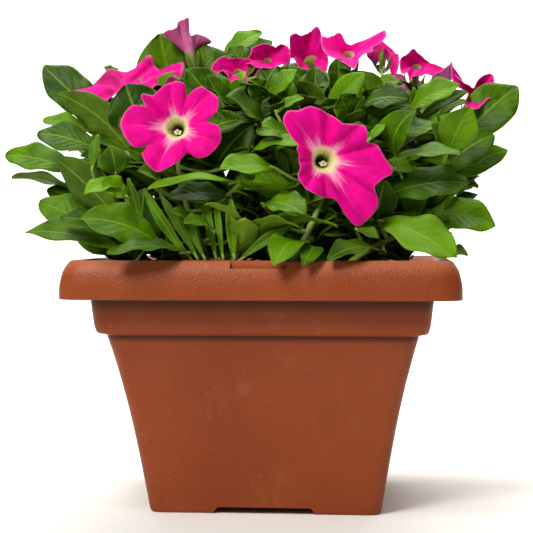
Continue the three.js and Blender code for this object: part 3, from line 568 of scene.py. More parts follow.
FLOWERS = {
    "front_left": dict(
        throat=(-73, -118, 295), facing=(-0.05, -1, 0.08), tube=30, rise=8, ruffle=1.0, tone=0.8,
        lobes=[(178, 41, 2), (96, 34, 4), (46, 38, -1), (-20, 35, -3), (-113, 36, 2)],
        outline=[(11, 22), (20, 33), (33, 38.5), (46, 37), (58, 36), (66, 29), (71, 21), (76, 32),
                 (84, 34), (99, 32.5), (117, 29), (127, 28), (136, 37), (141, 33), (145, 24), (152, 36),
                 (166, 40), (178, 41.5), (193, 38), (206, 35), (211, 29), (214, 22), (218, 32), (232, 35),
                 (248, 37), (262, 31), (279, 25), (296, 20.5), (304, 28), (315, 32), (330, 34),
                 (345, 35.5), (360, 33)]),
    "front_right": dict(
        throat=(37, -122, 271), facing=(0.12, -1, 0.02), tube=32, rise=9, ruffle=1.2, tone=0.7,
        lobes=[(128, 46, 3), (45, 37, 6), (-9, 52, 0), (-58, 56, -2), (-122, 29, 8)],
        outline=[(0, 46), (7, 43), (17, 41), (22, 33), (33, 36.5), (41, 38), (55, 31), (66, 28.5),
                 (80, 32.5), (97, 37.5), (106, 41), (121, 41), (128, 46), (138, 43.5), (146, 33),
                 (153, 22), (160, 24), (170, 20), (198, 20), (212, 25.5), (238, 27), (260, 28), (278, 29),
                 (286, 31), (290, 44), (295, 56.5), (308, 55), (320, 53), (326, 48), (330, 41),
                 (335, 42.5), (344, 47), (349, 53.5), (355, 50)]),
    "left": dict(
        throat=(-117, -28, 333), facing=(-0.1, -0.34, 0.93), tube=24, rise=7, ruffle=1.3, tone=0.2,
        rim=[(-160, -30, 331), (-146, -18, 338), (-132, -8, 349), (-120, 0, 351), (-111, 5, 356),
             (-102, 5, 363), (-98, 2, 357), (-95, 0, 351), (-87, 0, 347), (-84, -2, 355), (-80, -4, 358),
             (-74, -10, 355), (-72, -18, 349), (-76, -32, 337), (-86, -45, 332), (-93, -52, 330),
             (-102, -58, 328), (-113, -60, 326), (-127, -58, 324), (-136, -52, 322), (-144, -46, 324),
             (-153, -40, 326)]),
    "top_left": dict(
        throat=(-69, 2, 366), facing=(-0.25, 0.25, 0.93), tube=18, rise=8, ruffle=0.9, tone=1.0,
        rim=[(-90, -8, 379), (-85, -10, 383), (-79, -10, 384), (-77, -8, 389), (-72, -6, 393),
             (-69, -4, 391), (-70, -4, 386), (-68, -2, 379), (-61, 2, 380), (-54, 4, 377), (-51, 6, 374),
             (-54, 10, 374), (-63, 14, 375), (-70, 16, 381), (-76, 14, 386), (-83, 10, 383), (-88, 4, 380)]),
    "upper_left": dict(
        throat=(-29, -26, 347), facing=(-0.1, -0.8, 0.6), tube=22, rise=6, ruffle=1.3, tone=0.4,
        rim=[(-50, -38, 345), (-47, -34, 355), (-42, -30, 358), (-35, -28, 357), (-27, -26, 358),
             (-21, -28, 356), (-14, -30, 353), (-11, -34, 348), (-14, -40, 342), (-14, -46, 336),
             (-19, -48, 336), (-23, -50, 333), (-28, -50, 335), (-35, -48, 336), (-36, -46, 341),
             (-41, -44, 345), (-45, -42, 343)]),
    "upper_centre": dict(
        throat=(-5, -16, 357), facing=(-0.1, -0.8, 0.6), tube=24, rise=6, ruffle=1.2, tone=0.5,
        rim=[(-22, -30, 354), (-18, -26, 362), (-17, -24, 367), (-10, -22, 369), (-2, -22, 368),
             (2, -20, 367), (7, -18, 370), (11, -16, 369), (14, -16, 362), (13, -20, 354), (7, -26, 352),
             (3, -32, 350), (-3, -36, 348), (-9, -38, 348), (-14, -38, 349), (-19, -36, 351)]),
    "centre": dict(
        throat=(30, 2, 360), facing=(-0.3, -0.75, 0.6), tube=26, rise=7, ruffle=1.2, tone=0.4,
        rim=[(13, -10, 368), (14, -8, 376), (19, -6, 380), (24, -4, 379), (28, -2, 380), (30, 0, 384),
             (34, 2, 386), (38, 2, 384), (40, 0, 378), (41, -6, 370), (44, -16, 360), (44, -22, 354),
             (42, -28, 345), (39, -32, 338), (35, -34, 334), (32, -34, 337), (28, -32, 342),
             (22, -28, 346), (18, -22, 355), (14, -14, 359)]),
    "top": dict(
        throat=(62, 2, 364), facing=(0, -0.8, 0.6), tube=26, rise=6, ruffle=1.0, tone=0.9,
        rim=[(39, -4, 377), (40, -12, 368), (44, -20, 360), (52, -26, 356), (58, -30, 352),
             (65, -34, 347), (67, -32, 353), (70, -28, 359), (80, -20, 363), (81, -12, 369),
             (92, -2, 376), (92, 4, 383), (88, 8, 383), (75, 10, 376), (63, 10, 372), (57, 8, 377),
             (56, 6, 380), (52, 4, 381), (48, 2, 379), (44, 0, 377)]),
    "top_right": dict(
        throat=(91, 10, 366), facing=(0.1, 0.7, 0.7), tube=22, rise=4, ruffle=1.0, tone=0.7,
        rim=[(81, 14, 375), (83, 20, 379), (91, 24, 377), (98, 24, 372), (102, 20, 366), (104, 16, 366),
             (104, 8, 356), (101, 0, 347), (98, -4, 342), (96, 0, 351), (92, 2, 361), (87, -4, 358),
             (83, -6, 354), (79, -2, 359), (77, 6, 365)]),
    "upper_right": dict(
        throat=(118, 2, 354), facing=(0, -0.75, 0.65), tube=26, rise=5, ruffle=1.1, tone=0.5,
        rim=[(103, -10, 353), (104, -8, 360), (110, -6, 363), (116, -2, 367), (123, 0, 361),
             (134, 4, 353), (141, 6, 352), (136, -4, 347), (128, -14, 344), (120, -20, 345),
             (112, -26, 342), (110, -28, 338), (108, -24, 345), (104, -18, 346)]),
    "right": dict(
        throat=(165, 4, 331), facing=(0.1, -0.7, 0.7), tube=24, rise=5, ruffle=1.1, tone=0.3,
        rim=[(146, 0, 355), (149, -4, 347), (155, -6, 340), (164, -6, 335), (168, -2, 342), (176, 2, 347),
             (181, 4, 348), (182, 2, 341), (185, -2, 334), (180, -10, 327), (172, -16, 323),
             (165, -22, 317), (159, -24, 316), (155, -20, 322), (158, -16, 329), (154, -12, 334),
             (147, -6, 340)]),
    "right_small": dict(
        throat=(140, 2, 338), facing=(0, 0.35, 0.93), tube=16, rise=7, ruffle=0.8, tone=0.9,
        rim=[(128, -8, 340), (131, -8, 346), (137, -5, 349), (142, 0, 353), (147, 4, 357), (149, 6, 349),
             (148, 12, 344), (141, 14, 345), (133, 10, 344), (128, 0, 341)]),
    "back_left": dict(
        throat=(-88, 110, 318), facing=(-0.45, 0.75, 0.5), tube=30, rise=9, ruffle=1.2, tone=0.7,
        lobes=[(25, 39, 0), (97, 40, 2), (170, 37, 0), (240, 38, -2), (313, 39, 0)]),
    "back": dict(
        throat=(12, 122, 330), facing=(0.05, 0.85, 0.5), tube=30, rise=9, ruffle=1.2, tone=0.8,
        lobes=[(55, 38, 0), (125, 39, 2), (200, 40, 0), (270, 37, -2), (343, 38, 0)]),
    "back_right": dict(
        throat=(112, 88, 322), facing=(0.5, 0.7, 0.5), tube=28, rise=9, ruffle=1.2, tone=0.6,
        lobes=[(5, 36, 0), (77, 34, 2), (150, 35, 0), (220, 33, 2), (293, 34, 0)]),
}
AROUND = 150
LIMB_STEPS = 20
MOUTH_SHARE = 0.42  # of the way from the tube's foot to the lip
CRUMPLED_SHARE = 0.64  # a crumpled flower shows less of its pale throat
NOTCH = 0.7  # how deep the cuts between lobes go, against the lobes beside them


def flower_axes(facing):
    """Rows: right, top and the way that the flower faces."""
    forward = unit(facing)
    right = unit(np.cross(UP, forward))
    return np.stack([right, np.cross(forward, right), forward])


def lobe_outline(flower, angles):
    """Reach, forward bend and closeness to a crease at each angle."""
    ordered = sorted((angle % 360, reach, bend) for angle, reach, bend in flower["lobes"])
    centres = np.radians([lobe[0] for lobe in ordered])
    reaches = np.array([lobe[1] for lobe in ordered])
    bends = np.array([lobe[2] for lobe in ordered])
    middles = (centres + (np.roll(centres, -1) - centres) % (2 * math.pi) / 2) % (2 * math.pi)
    offset = (angles[:, None] - centres[None, :] + math.pi) % (2 * math.pi) - math.pi
    lobe = np.abs(offset).argmin(1)
    to_lobe = np.take_along_axis(offset, lobe[:, None], 1)[:, 0]
    to_edge = np.where(to_lobe >= 0, (middles[lobe] - centres[lobe]) % (2 * math.pi),
                       (centres[lobe] - middles[lobe - 1]) % (2 * math.pi))
    share = np.clip(np.abs(to_lobe) / to_edge, 0, 1)
    beside = np.where(to_lobe >= 0, np.roll(reaches, -1)[lobe], np.roll(reaches, 1)[lobe])
    notch = 0.5 * (reaches[lobe] + beside) * NOTCH
    reach = notch + (reaches[lobe] - notch) * (1 - share**3.2) ** 0.55
    reach += 0.05 * reaches[lobe] * np.exp(-((share / 0.14) ** 2))
    if "outline" in flower:
        drawn = np.array(flower["outline"], float)
        reach = np.interp(np.degrees(angles), drawn[:, 0] % 360, drawn[:, 1], period=360)
        kernel = np.array([1, 2, 1]) / 4
        reach = np.convolve(np.concatenate([reach[-1:], reach, reach[:1]]), kernel, "valid")
    return reach, bends[lobe] * (1 - share**2), share


def limb_of_lobes(flower, angles, wave):
    """Rows of points from the mouth to an open flower's lip, in its own axes, and its creases."""
    reach, bend, share = lobe_outline(flower, angles)
    size = reach.mean()
    mouth = 0.24 * size
    rows = []
    for t in np.linspace(0, 1, LIMB_STEPS):
        radius = mouth + (reach - mouth) * t
        rise = flower["rise"] * np.sin(min(1.12 * t, 1.25) * math.pi / 2)
        crease = -0.13 * size * t**0.8 * (1 - t * 0.4) * np.exp(-(((1 - share) / 0.2) ** 2))
        ridge = -0.075 * size * t * np.exp(-((share / 0.18) ** 1.3))
        ruffle = flower["ruffle"] * 0.085 * size * t**1.6 * wave
        height = rise + bend * t**1.6 + crease + ridge + ruffle
        rows.append(np.stack([radius * np.cos(angles), radius * np.sin(angles), height], -1))
    return rows, angles, mouth, share


def closed_curve(points, count):
    """A smooth loop through the given points."""
    points = np.asarray(points, float)
    place = np.arange(count) / count * len(points)
    cell = place.astype(int)
    t = (place - cell)[:, None]
    return between_points(*(points[(cell + k) % len(points)] for k in (-1, 0, 1, 2)), t)


def limb_of_rim(flower, angles, wave):
    """The same for a crumpled flower, whose lip goes through the points of its rim."""
    own = (np.array(flower["rim"], float) - flower["throat"]) @ flower_axes(flower["facing"]).T
    following = np.roll(own, -1, axis=0)
    if (own[:, 0] * following[:, 1] - own[:, 1] * following[:, 0]).sum() < 0:
        own = own[::-1]
    rim = closed_curve(own, AROUND)
    lag = np.exp(1j * (np.arctan2(rim[:, 1], rim[:, 0]) - angles)).sum()
    angles = angles + np.angle(lag)
    reach = np.linalg.norm(rim, axis=1)
    size = reach.mean()
    mouth = 0.2 * size
    ring = np.stack([mouth * np.cos(angles), mouth * np.sin(angles), np.zeros(AROUND)], -1)
    bulge = 1.1 * ring + 0.25 * rim
    bulge[:, 2] = np.maximum(0.6 * rim[:, 2], 0.8 * flower["rise"])
    fold = np.sin(7 * angles + wave) * 0.5 + wave
    rows = []
    for t in np.linspace(0, 1, LIMB_STEPS):
        points = (1 - t) ** 2 * ring + 2 * t * (1 - t) * bulge + t**2 * rim
        points[:, 2] += flower["ruffle"] * 0.13 * size * math.sin(math.pi * min(1, 1.25 * t) * 0.8) * fold * t
        rows.append(points)
    return rows, angles, mouth, 1 - (reach - reach.min()) / np.ptp(reach)


def add_corolla(piece, flower, seed):
    """A funnel of two skins, from the foot of its tube to the lip of its limb."""
    source = np.random.default_rng(seed)
    angles = np.arange(AROUND) / AROUND * 2 * math.pi
    phases = source.uniform(0, 2 * math.pi, 6)
    waves = [np.sin(k * angles + phase) / (0.5 + 0.1 * k) for k, phase in zip((3, 5, 8, 12, 17, 23), phases)]
    wave = sum(waves) / 5
    make_limb = limb_of_rim if "rim" in flower else limb_of_lobes
    limb, angles, mouth, share = make_limb(flower, angles, wave)
    rows, lifts = [], []
    for t in np.linspace(0, 1, 14)[:-1]:
        radius = TUBE_RADIUS + (mouth - TUBE_RADIUS) * (0.4 * t + 0.6 * t**3)
        rows.append(np.stack([radius * np.cos(angles), radius * np.sin(angles),
                              np.full(AROUND, -flower["tube"] * (1 - t))], -1))
        lifts.append(MOUTH_SHARE * t)
    rows += limb
    pink_from = CRUMPLED_SHARE if "rim" in flower else MOUTH_SHARE
    lifts += [pink_from + (1 - pink_from) * t for t in np.linspace(0, 1, LIMB_STEPS)]
    grid = np.array(rows) @ flower_axes(flower["facing"]) + np.array(flower["throat"], float)
    count = grid.shape[0] * AROUND
    normals = grid_normals(grid, wrap=True)
    face, back = grid - PETAL_HALF * normals, grid + PETAL_HALF * normals
    lift = np.repeat(lifts, AROUND)
    ray = np.stack([np.tile(np.cos(angles), len(lifts)), np.tile(np.sin(angles), len(lifts)), lift], -1)
    crease = np.tile(share, len(lifts))
    quads = grid_quads(grid.shape[0], AROUND, wrap=True)
    edge = np.arange(AROUND) + count - AROUND
    lip = np.stack([edge, np.roll(edge, -1), np.roll(edge, -1) + count, edge + count], -1)
    foot = np.arange(AROUND)
    sole = np.stack([np.roll(foot, -1), foot, foot + count, np.roll(foot, -1) + count], -1)
    faces = np.concatenate([quads[:, ::-1], quads + count, lip[:, ::-1], sole[:, ::-1]])
    slots = np.concatenate([np.zeros(len(quads)), np.ones(len(quads)), np.ones(2 * AROUND)])
    piece.add(np.concatenate([face.reshape(-1, 3), back.reshape(-1, 3)]), faces, slots,
              ray=np.concatenate([ray, ray]), crease=np.concatenate([crease, crease]), tone=flower["tone"])


def add_stamens(piece, flower):
    """Five anthers and the stigma, low in the mouth of the tube."""
    axes = flower_axes(flower["facing"])
    throat = np.array(flower["throat"], float) + np.array([0.4, -2.4, -5.5]) @ axes
    for k in range(LOBES):
        angle = k / LOBES * 2 * math.pi + 0.4
        tip = throat + np.array([2.0 * math.cos(angle), 1.3 * math.sin(angle), 0.8 * (k % 2)]) @ axes
        foot = throat + np.array([0.5 * math.cos(angle), 0.5 * math.sin(angle) + 2, -12]) @ axes
        piece.tube(smooth_path([foot, (foot + tip) / 2, tip], 6), 0.28, 5, 0)
        piece.lump(tip, (1.35, 0.95, 0.9), axes, 0)
    piece.tube([throat + np.array([0, 2 - 2 * k, -12 + 12 * k]) @ axes for k in (0, 0.5, 1)], 0.35, 5, 1)
    piece.lump(throat + np.array([0, 0.2, 0.6]) @ axes, (0.95, 0.95, 0.6), axes, 1)


# ------------------------------------------------------------------ leaves
# base and tip: the ends of the blade; width; face: roughly the way its upper side faces;
# arch: how far the midrib bows up, against the length; cup: how far the edges rise above it,
# against the half width; tone: 0 for the darkest green to 1 for the palest.

LEAVES = [
    ((-85, -120, 208), (-142, -140, 228), 35, (-0.15, -0.75, 0.6), 0.12, 0.12, 0.45),
    ((80, -98, 226), (134, -136, 198), 40, (0.1, -0.7, 0.65), 0.1, 0.12, 0.75),
    ((-115, -75, 202), (-195, -62, 218), 25, (-0.1, -0.55, 0.8), 0.1, 0.2, 0.45),
    ((-132, -30, 302), (-186, -20, 352), 34, (-0.35, -0.6, 0.7), 0.08, 0.15, 0.2),
    ((-108, -74, 274), (-169, -54, 327), 28, (-0.35, 0.7, 0.6), 0.08, 0.1, 0.3),
    ((-145, -45, 297), (-184, -40, 307), 20, (-0.2, -0.6, 0.75), 0.1, 0.1, 0.7),
    ((-135, -75, 281), (-185, -65, 295), 30, (-0.1, -0.75, 0.65), 0.1, 0.1, 0.25),
    ((-154, -45, 264), (-217, -24, 280), 27, (-0.1, -0.75, 0.6), 0.1, 0.15, 0.5),
    ((-118, -94, 226), (-167, -84, 274), 33, (-0.3, 0.6, 0.7), 0.06, 0.1, 0.2),
    ((-152, -34, 246), (-212, -20, 262), 22, (-0.1, 0.4, 0.9), 0.08, 0.15, 0.3),
    ((-143, -35, 237), (-183, -25, 252), 24, (-0.1, -0.6, 0.75), 0.1, 0.1, 0.15),
    ((-138, -60, 216), (-186, -50, 241), 30, (-0.1, -0.75, 0.6), 0.1, 0.1, 0.6),
    ((-126, -88, 223), (-165, -80, 229), 22, (-0.1, -0.7, 0.7), 0.1, 0.1, 0.25),
    ((-63, -128, 202), (-121, -157, 202), 25, (0, -0.35, 0.9), 0.1, 0.15, 0.3),
    ((-138, -100, 264), (-134, -95, 292), 9, (-0.3, -0.9, 0.2), 0.05, 0.1, 0.5),
    ((-120, -100, 261), (-123, -112, 282), 24, (-0.1, -0.6, 0.8), 0.1, 0.3, 0.4),
    ((-113, -110, 251), (-141, -128, 246), 18, (0, -0.55, 0.85), 0.15, 0.2, 0.8),
    ((-110, -112, 243), (-129, -125, 255), 18, (0.1, -0.8, 0.5), 0.1, 0.3, 0.8),
    ((-88, -105, 249), (-101, -125, 263), 18, (-0.1, -0.7, 0.7), 0.2, 0.3, 0.5),
    ((-96, -58, 288), (-116, -60, 333), 46, (-0.1, -0.85, 0.5), 0.08, 0.1, 0.05),
    ((-127, 20, 343), (-141, 15, 355), 14, (-0.2, -0.6, 0.8), 0.1, 0.1, 0.5),
    ((-78, 26, 326), (-94, 12, 382), 50, (-0.2, -0.85, 0.5), 0.06, 0.08, 0.55),
    ((-32, -50, 296), (-68, -56, 346), 42, (0.1, -0.85, 0.5), 0.08, 0.1, 0.25),
    ((-56, 0, 342), (-63, 10, 375), 22, (0.1, -0.8, 0.6), 0.1, 0.3, 0.4),
    ((-61, 20, 348), (-36, 25, 367), 28, (0, -0.75, 0.65), 0.12, 0.15, 0.3),
    ((-44, 48, 364), (-10, 55, 389), 23, (-0.1, -0.7, 0.7), 0.12, 0.15, 0.65),
    ((-30, 70, 362), (-1, 75, 384), 22, (0.2, -0.6, 0.75), 0.12, 0.15, 0.2),
    ((-21, 25, 353), (-35, 30, 374), 22, (0, -0.8, 0.55), 0.08, 0.1, 0.3),
    ((-6, -72, 298), (-36, -94, 321), 38, (0.2, -0.55, 0.8), 0.06, 0.25, 0.25),
    ((-48, -66, 262), (-17, -82, 300), 38, (0.1, -0.8, 0.6), 0.1, 0.1, 0.05),
    ((20, -72, 292), (-13, -95, 294), 26, (0, -0.7, 0.7), 0.1, 0.15, 0.5),
    ((-24, -85, 272), (23, -104, 284), 20, (0, -0.45, 0.9), 0.15, 0.15, 0.65),
    ((0, -104, 266), (-40, -130, 264), 28, (0.1, -0.65, 0.75), 0.08, 0.2, 0.65),
    ((-26, -116, 254), (-93, -142, 249), 20, (0, -0.3, 0.95), 0.08, 0.2, 0.75),
    ((-32, -105, 244), (-79, -124, 243), 24, (0, -0.7, 0.7), 0.1, 0.15, 0.05),
    ((-59, -115, 224), (-76, -135, 233), 15, (0.1, -0.7, 0.7), 0.1, 0.2, 0.4),
    ((-44, -125, 218), (-66, -146, 224), 15, (0, -0.6, 0.8), 0.15, 0.2, 0.5),
    ((-9, -108, 238), (23, -141, 230), 28, (0, -0.65, 0.75), 0.12, 0.15, 0.5),
    ((-21, -128, 221), (-50, -152, 238), 14, (0.2, 0.3, 0.9), 0.08, 0.2, 0.6),
    ((-21, -126, 221), (19, -150, 221), 18, (0.1, 0.2, 0.95), 0.1, 0.2, 0.5),
    ((-29, -118, 197), (-20, -140, 227), 24, (0, 0.85, 0.4), 0.1, 0.25, 0.8),
    ((-26, -114, 200), (46, -148, 223), 26, (-0.1, 0.4, 0.9), 0.16, 0.15, 0.55),
    ((24, -116, 206), (0, -164, 194), 28, (-0.1, -0.55, 0.85), 0.2, 0.15, 0.6),
    ((31, -122, 204), (21, -161, 194), 17, (0.1, -0.55, 0.85), 0.18, 0.15, 0.45),
    ((83, -125, 202), (39, -158, 198), 24, (0, -0.4, 0.9), 0.12, 0.15, 0.25),
    ((118, -60, 231), (173, -70, 223), 34, (0.1, -0.75, 0.6), 0.1, 0.15, 0.7),
    ((132, -50, 203), (152, -62, 199), 15, (0.1, -0.6, 0.8), 0.1, 0.1, 0.4),
    ((85, -90, 208), (133, -108, 198), 22, (0, -0.6, 0.8), 0.1, 0.15, 0.15),
    ((86, -80, 245), (148, -100, 255), 32, (0.1, -0.8, 0.55), 0.1, 0.12, 0.3),
    ((84, -94, 269), (140, -126, 275), 25, (0, -0.45, 0.9), 0.08, 0.2, 0.45),
    ((131, -28, 258), (189, -24, 284), 25, (0.1, -0.8, 0.5), 0.06, 0.15, 0.55),
    ((132, -45, 263), (175, -45, 295), 32, (0.1, -0.8, 0.5), 0.08, 0.12, 0.25),
    ((148, -14, 289), (199, -8, 337), 40, (0.2, -0.75, 0.55), 0.08, 0.12, 0.4),
    ((135, -70, 278), (151, -86, 313), 30, (0.2, -0.8, 0.5), 0.12, 0.15, 0.65),
    ((135, -62, 279), (122, -80, 301), 24, (-0.1, -0.7, 0.6), 0.1, 0.15, 0.4),
    ((106, -40, 311), (146, -60, 333), 26, (-0.1, -0.7, 0.7), 0.14, 0.2, 0.7),
    ((116, -35, 306), (153, -50, 329), 15, (0.1, -0.7, 0.7), 0.1, 0.1, 0.3),
    ((132, -30, 311), (154, -40, 322), 15, (0, -0.6, 0.8), 0.1, 0.1, 0.4),
    ((93, -95, 275), (105, -116, 309), 27, (-0.3, -0.8, 0.5), 0.22, 0.3, 0.35),
    ((57, -58, 301), (51, -75, 324), 32, (0, -0.7, 0.7), 0.15, 0.15, 0.4),
    ((40, -48, 311), (71, -55, 343), 21, (0.2, -0.8, 0.5), 0.08, 0.15, 0.75),
    ((51, -20, 330), (52, -25, 358), 18, (-0.1, -0.8, 0.5), 0.08, 0.15, 0.25),
    ((75, -18, 330), (102, -25, 340), 17, (0, -0.7, 0.7), 0.12, 0.15, 0.55),
    ((68, -58, 316), (104, -84, 320), 27, (0, -0.7, 0.7), 0.14, 0.15, 0.15),
    ((-5, -55, 322), (18, -60, 345), 18, (-0.1, -0.75, 0.6), 0.1, 0.2, 0.6),
    ((-9, -40, 330), (1, -35, 349), 19, (-0.1, -0.75, 0.6), 0.1, 0.2, 0.3),
    ((-35, -50, 321), (-22, -65, 333), 21, (0.1, -0.8, 0.5), 0.1, 0.15, 0.3),
    ((-8, -50, 323), (-19, -62, 336), 21, (-0.1, -0.8, 0.5), 0.1, 0.15, 0.45),
    ((2, -75, 309), (23, -80, 321), 12, (0, -0.6, 0.8), 0.1, 0.2, 0.6),
    ((21, -50, 309), (38, -55, 331), 27, (0.1, -0.8, 0.5), 0.1, 0.1, 0.2),
    ((71, -110, 286), (84, -108, 299), 9, (-0.3, -0.7, 0.6), 0.05, 0.2, 0.6),
    ((80, -85, 226), (84, -102, 256), 27, (0, -0.8, 0.5), 0.1, 0.1, 0.15),
    ((61, -125, 219), (77, -136, 213), 11, (0, -0.6, 0.8), 0.1, 0.2, 0.5),
    ((-61, -126, 196), (-98, -112, 250), 8, (-0.3, -0.9, 0.3), 0.03, 0.35, 0.4),
    ((-56, -128, 196), (-86, -112, 246), 7, (-0.2, -0.9, 0.3), 0.03, 0.35, 0.3),
    ((-51, -127, 196), (-69, -112, 236), 6, (-0.2, -0.9, 0.3), 0.03, 0.35, 0.5),
    ((-43, -126, 196), (-57, -108, 254), 7, (0, -0.9, 0.3), 0.03, 0.35, 0.4),
    ((-98, -112, 214), (-110, -108, 258), 8, (-0.2, -0.9, 0.3), 0.03, 0.35, 0.35),
    ((-30, -130, 196), (-32, -118, 242), 9, (0, -0.9, 0.3), 0.03, 0.35, 0.6),
    ((-26, -130, 196), (14, -126, 222), 8, (0.2, -0.9, 0.4), 0.05, 0.35, 0.5),
    ((-38, -126, 196), (-44, -110, 244), 5, (0, -0.9, 0.3), 0.03, 0.35, 0.6),
    ((-105, 70, 225), (-168, 92, 232), 36, (-0.4, 0.3, 0.85), 0.15, 0.15, 0.5),
    ((-95, 85, 262), (-152, 108, 276), 38, (-0.4, 0.6, 0.7), 0.12, 0.12, 0.4),
    ((20, 95, 218), (34, 160, 212), 38, (0, 0.5, 0.85), 0.15, 0.15, 0.5),
    ((-28, 95, 252), (-42, 158, 262), 38, (-0.1, 0.6, 0.8), 0.12, 0.12, 0.6),
    ((105, 62, 222), (166, 88, 226), 38, (0.4, 0.4, 0.85), 0.15, 0.15, 0.55),
    ((128, 58, 258), (176, 92, 276), 34, (0.4, 0.5, 0.75), 0.12, 0.12, 0.45),
]


def blade_half(t):
    """Share of the half width along the blade, widest a little past the middle."""
    return np.sin(math.pi * np.minimum(0.99, 0.06 + 0.93 * t) ** 1.35) ** 0.8


def add_leaf(piece, leaf, source, rows=20, columns=9):
    """A leaf as listed above, with a twist, a sway and a wavy edge of its own."""
    base, tip, width, face, arch, cup, tone = leaf
    base, tip = np.array(base, float), np.array(tip, float)
    length = np.linalg.norm(tip - base)
    forward = (tip - base) / length
    side = unit(np.cross(forward, np.array(face, float)))
    up = np.cross(side, forward)
    t = np.linspace(0, 1, rows)[:, None]
    x = np.linspace(-1, 1, columns)[None, :]
    half = np.maximum(0.9, width / 2 * blade_half(t))
    twist = source.normal(0, 0.16) * (t - 0.3)
    waves, phase = source.uniform(1.6, 3.2), source.uniform(0, 2 * math.pi)
    edge_wave = 0.055 * width * np.sin(2 * math.pi * waves * t + phase + x) * np.abs(x) ** 2.5
    edge_wave *= np.minimum(1, 3 * t)
    lift = 4 * arch * length * t * (1 - t) - 0.1 * length * arch * t**4
    rib = -0.5 * np.exp(-((x / 0.12) ** 2)) * np.minimum(1, half / 6)
    level = lift + np.abs(x) ** 1.4 * cup * half + edge_wave + rib
    sway = source.normal(0, 0.03) * length * 4 * t * (1 - t)
    across = x * half * np.cos(twist) + sway
    level = level + x * half * np.sin(twist)
    grid = base + forward * (length * t)[..., None] + side * across[..., None] + up * level[..., None]
    thickness = BLADE_THICKNESS * (1 - 0.6 * np.abs(x) ** 3) * np.ones_like(t)
    blade = np.stack(np.broadcast_arrays(x, t, 0 * t * x), -1)
    piece.sheet(grid, thickness, blade=blade, tone=tone)


def add_bar(piece, points, count, radii, sides, tone):
    """A stalk through the points, in the third of the piece's materials."""
    piece.tube(smooth_path(points, count), np.linspace(*radii, count), sides, 2,
               blade=np.zeros((1, 3)), tone=tone)


def add_stalk(piece, leaf):
    """From the base of the blade to the nearest shoot."""
    base, tip = np.array(leaf[0], float), np.array(leaf[1], float)
    nearest = SHOOT_POINTS[np.linalg.norm(SHOOT_POINTS - base, axis=1).argmin()]
    span = np.linalg.norm(nearest - base)
    bend = (nearest + base) / 2 - UP * 0.12 * span
    path = [nearest, bend, base, base + (tip - base) * 0.12]
    add_bar(piece, path, 10, (1.5, 1.0), 6, leaf[6] * 0.6 + 0.3)


# ------------------------------------------------------------------ shoots

# Each shoot: the points that it goes through, and the flowers that it carries.

ROOT = SOIL_LEVEL - 12
SHOOTS = {
    "left_low": ([(-45, -55, ROOT), (-75, -75, 205), (-125, -62, 238), (-150, -45, 258)], []),
    "left": ([(-38, -40, ROOT), (-70, -55, 230), (-105, -48, 285), (-116, -36, 298)], ["left"]),
    "front_left": ([(-38, -72, ROOT), (-55, -90, 205), (-72, -82, 255), (-74, -74, 284)], ["front_left"]),
    "centre_left": ([(-22, -38, ROOT), (-42, -42, 230), (-40, -28, 290), (-38, -20, 315)],
                    ["upper_left", "top_left", "upper_centre"]),
    "front_right": ([(0, -72, ROOT), (18, -92, 200), (36, -80, 240), (40, -75, 262)], ["front_right"]),
    "centre_right": ([(12, -30, ROOT), (38, -40, 235), (58, -22, 290), (62, -14, 322)],
                     ["centre", "top", "top_right"]),
    "right": ([(28, -42, ROOT), (80, -58, 215), (125, -45, 262), (142, -25, 296)],
              ["upper_right", "right", "right_small"]),
    "right_low": ([(25, -62, ROOT), (62, -88, 196), (95, -92, 215), (118, -72, 226)], []),
    "back_left": ([(-32, 12, ROOT), (-66, 50, 225), (-78, 70, 270), (-80, 74, 292)], ["back_left"]),
    "back": ([(5, 22, ROOT), (12, 62, 225), (14, 78, 280), (14, 84, 300)], ["back"]),
    "back_right": ([(34, 8, ROOT), (80, 42, 225), (95, 55, 270), (98, 62, 290)], ["back_right"]),
}
SHOOT_POINTS = np.concatenate([smooth_path(path, 40)[5:] for path, _ in SHOOTS.values()])


def add_calyx(piece, flower, source):
    """A cup round the foot of the tube, with five strap-shaped sepals."""
    axes = flower_axes(flower["facing"])
    throat = np.array(flower["throat"], float)

    def at(radius, angle, forward):
        return throat + np.array([radius * math.cos(angle), radius * math.sin(angle), forward]) @ axes

    foot = -flower["tube"]
    piece.tube([at(0, 0, foot + z) for z in (-5, -3, -1, 1)], [1.4, 2.2, 2.9, 2.7], 10, 2,
               blade=np.zeros((1, 3)), tone=0.5)
    for k in range(LOBES):
        angle = k / LOBES * 2 * math.pi + 0.3
        inward = at(-1, angle, 0) - throat
        start = at(2.3, angle, foot - 2)
        end = at(6.5 + source.uniform(0, 3), angle, foot + source.uniform(12, 16))
        add_leaf(piece, (start, end, 4.2, inward, -0.1, 0.1, 0.5), source, 9, 5)


def build_shoots():
    for name, (path, carried) in SHOOTS.items():
        source = np.random.default_rng(len(name) + len(carried) * 7)
        piece = Piece(f"stem_{name}", [LEAF_TOP, LEAF_UNDER, STEM], "stem")
        add_bar(piece, path, 30, (3.2, 1.9), 10, 0.6)
        start = smooth_path(path, 30)[26]
        for flower_name in carried:
            flower = FLOWERS[flower_name]
            axes = flower_axes(flower["facing"])
            throat = np.array(flower["throat"], float)
            end = throat - axes[2] * (flower["tube"] + 4)
            before = throat - axes[2] * (flower["tube"] + 12)
            add_bar(piece, [start, (start + before) / 2, before, end], 16, (1.5, 1.3), 8, 0.5)
            add_calyx(piece, flower, source)
        piece.build(f"shoot_{name}")


# ------------------------------------------------------------------ filling foliage

LEAVES_UP_A_SHOOT = 13
SURFACE_LEAVES = 420
TOP_LEAVES = 110
LOW_LEAVES = 170


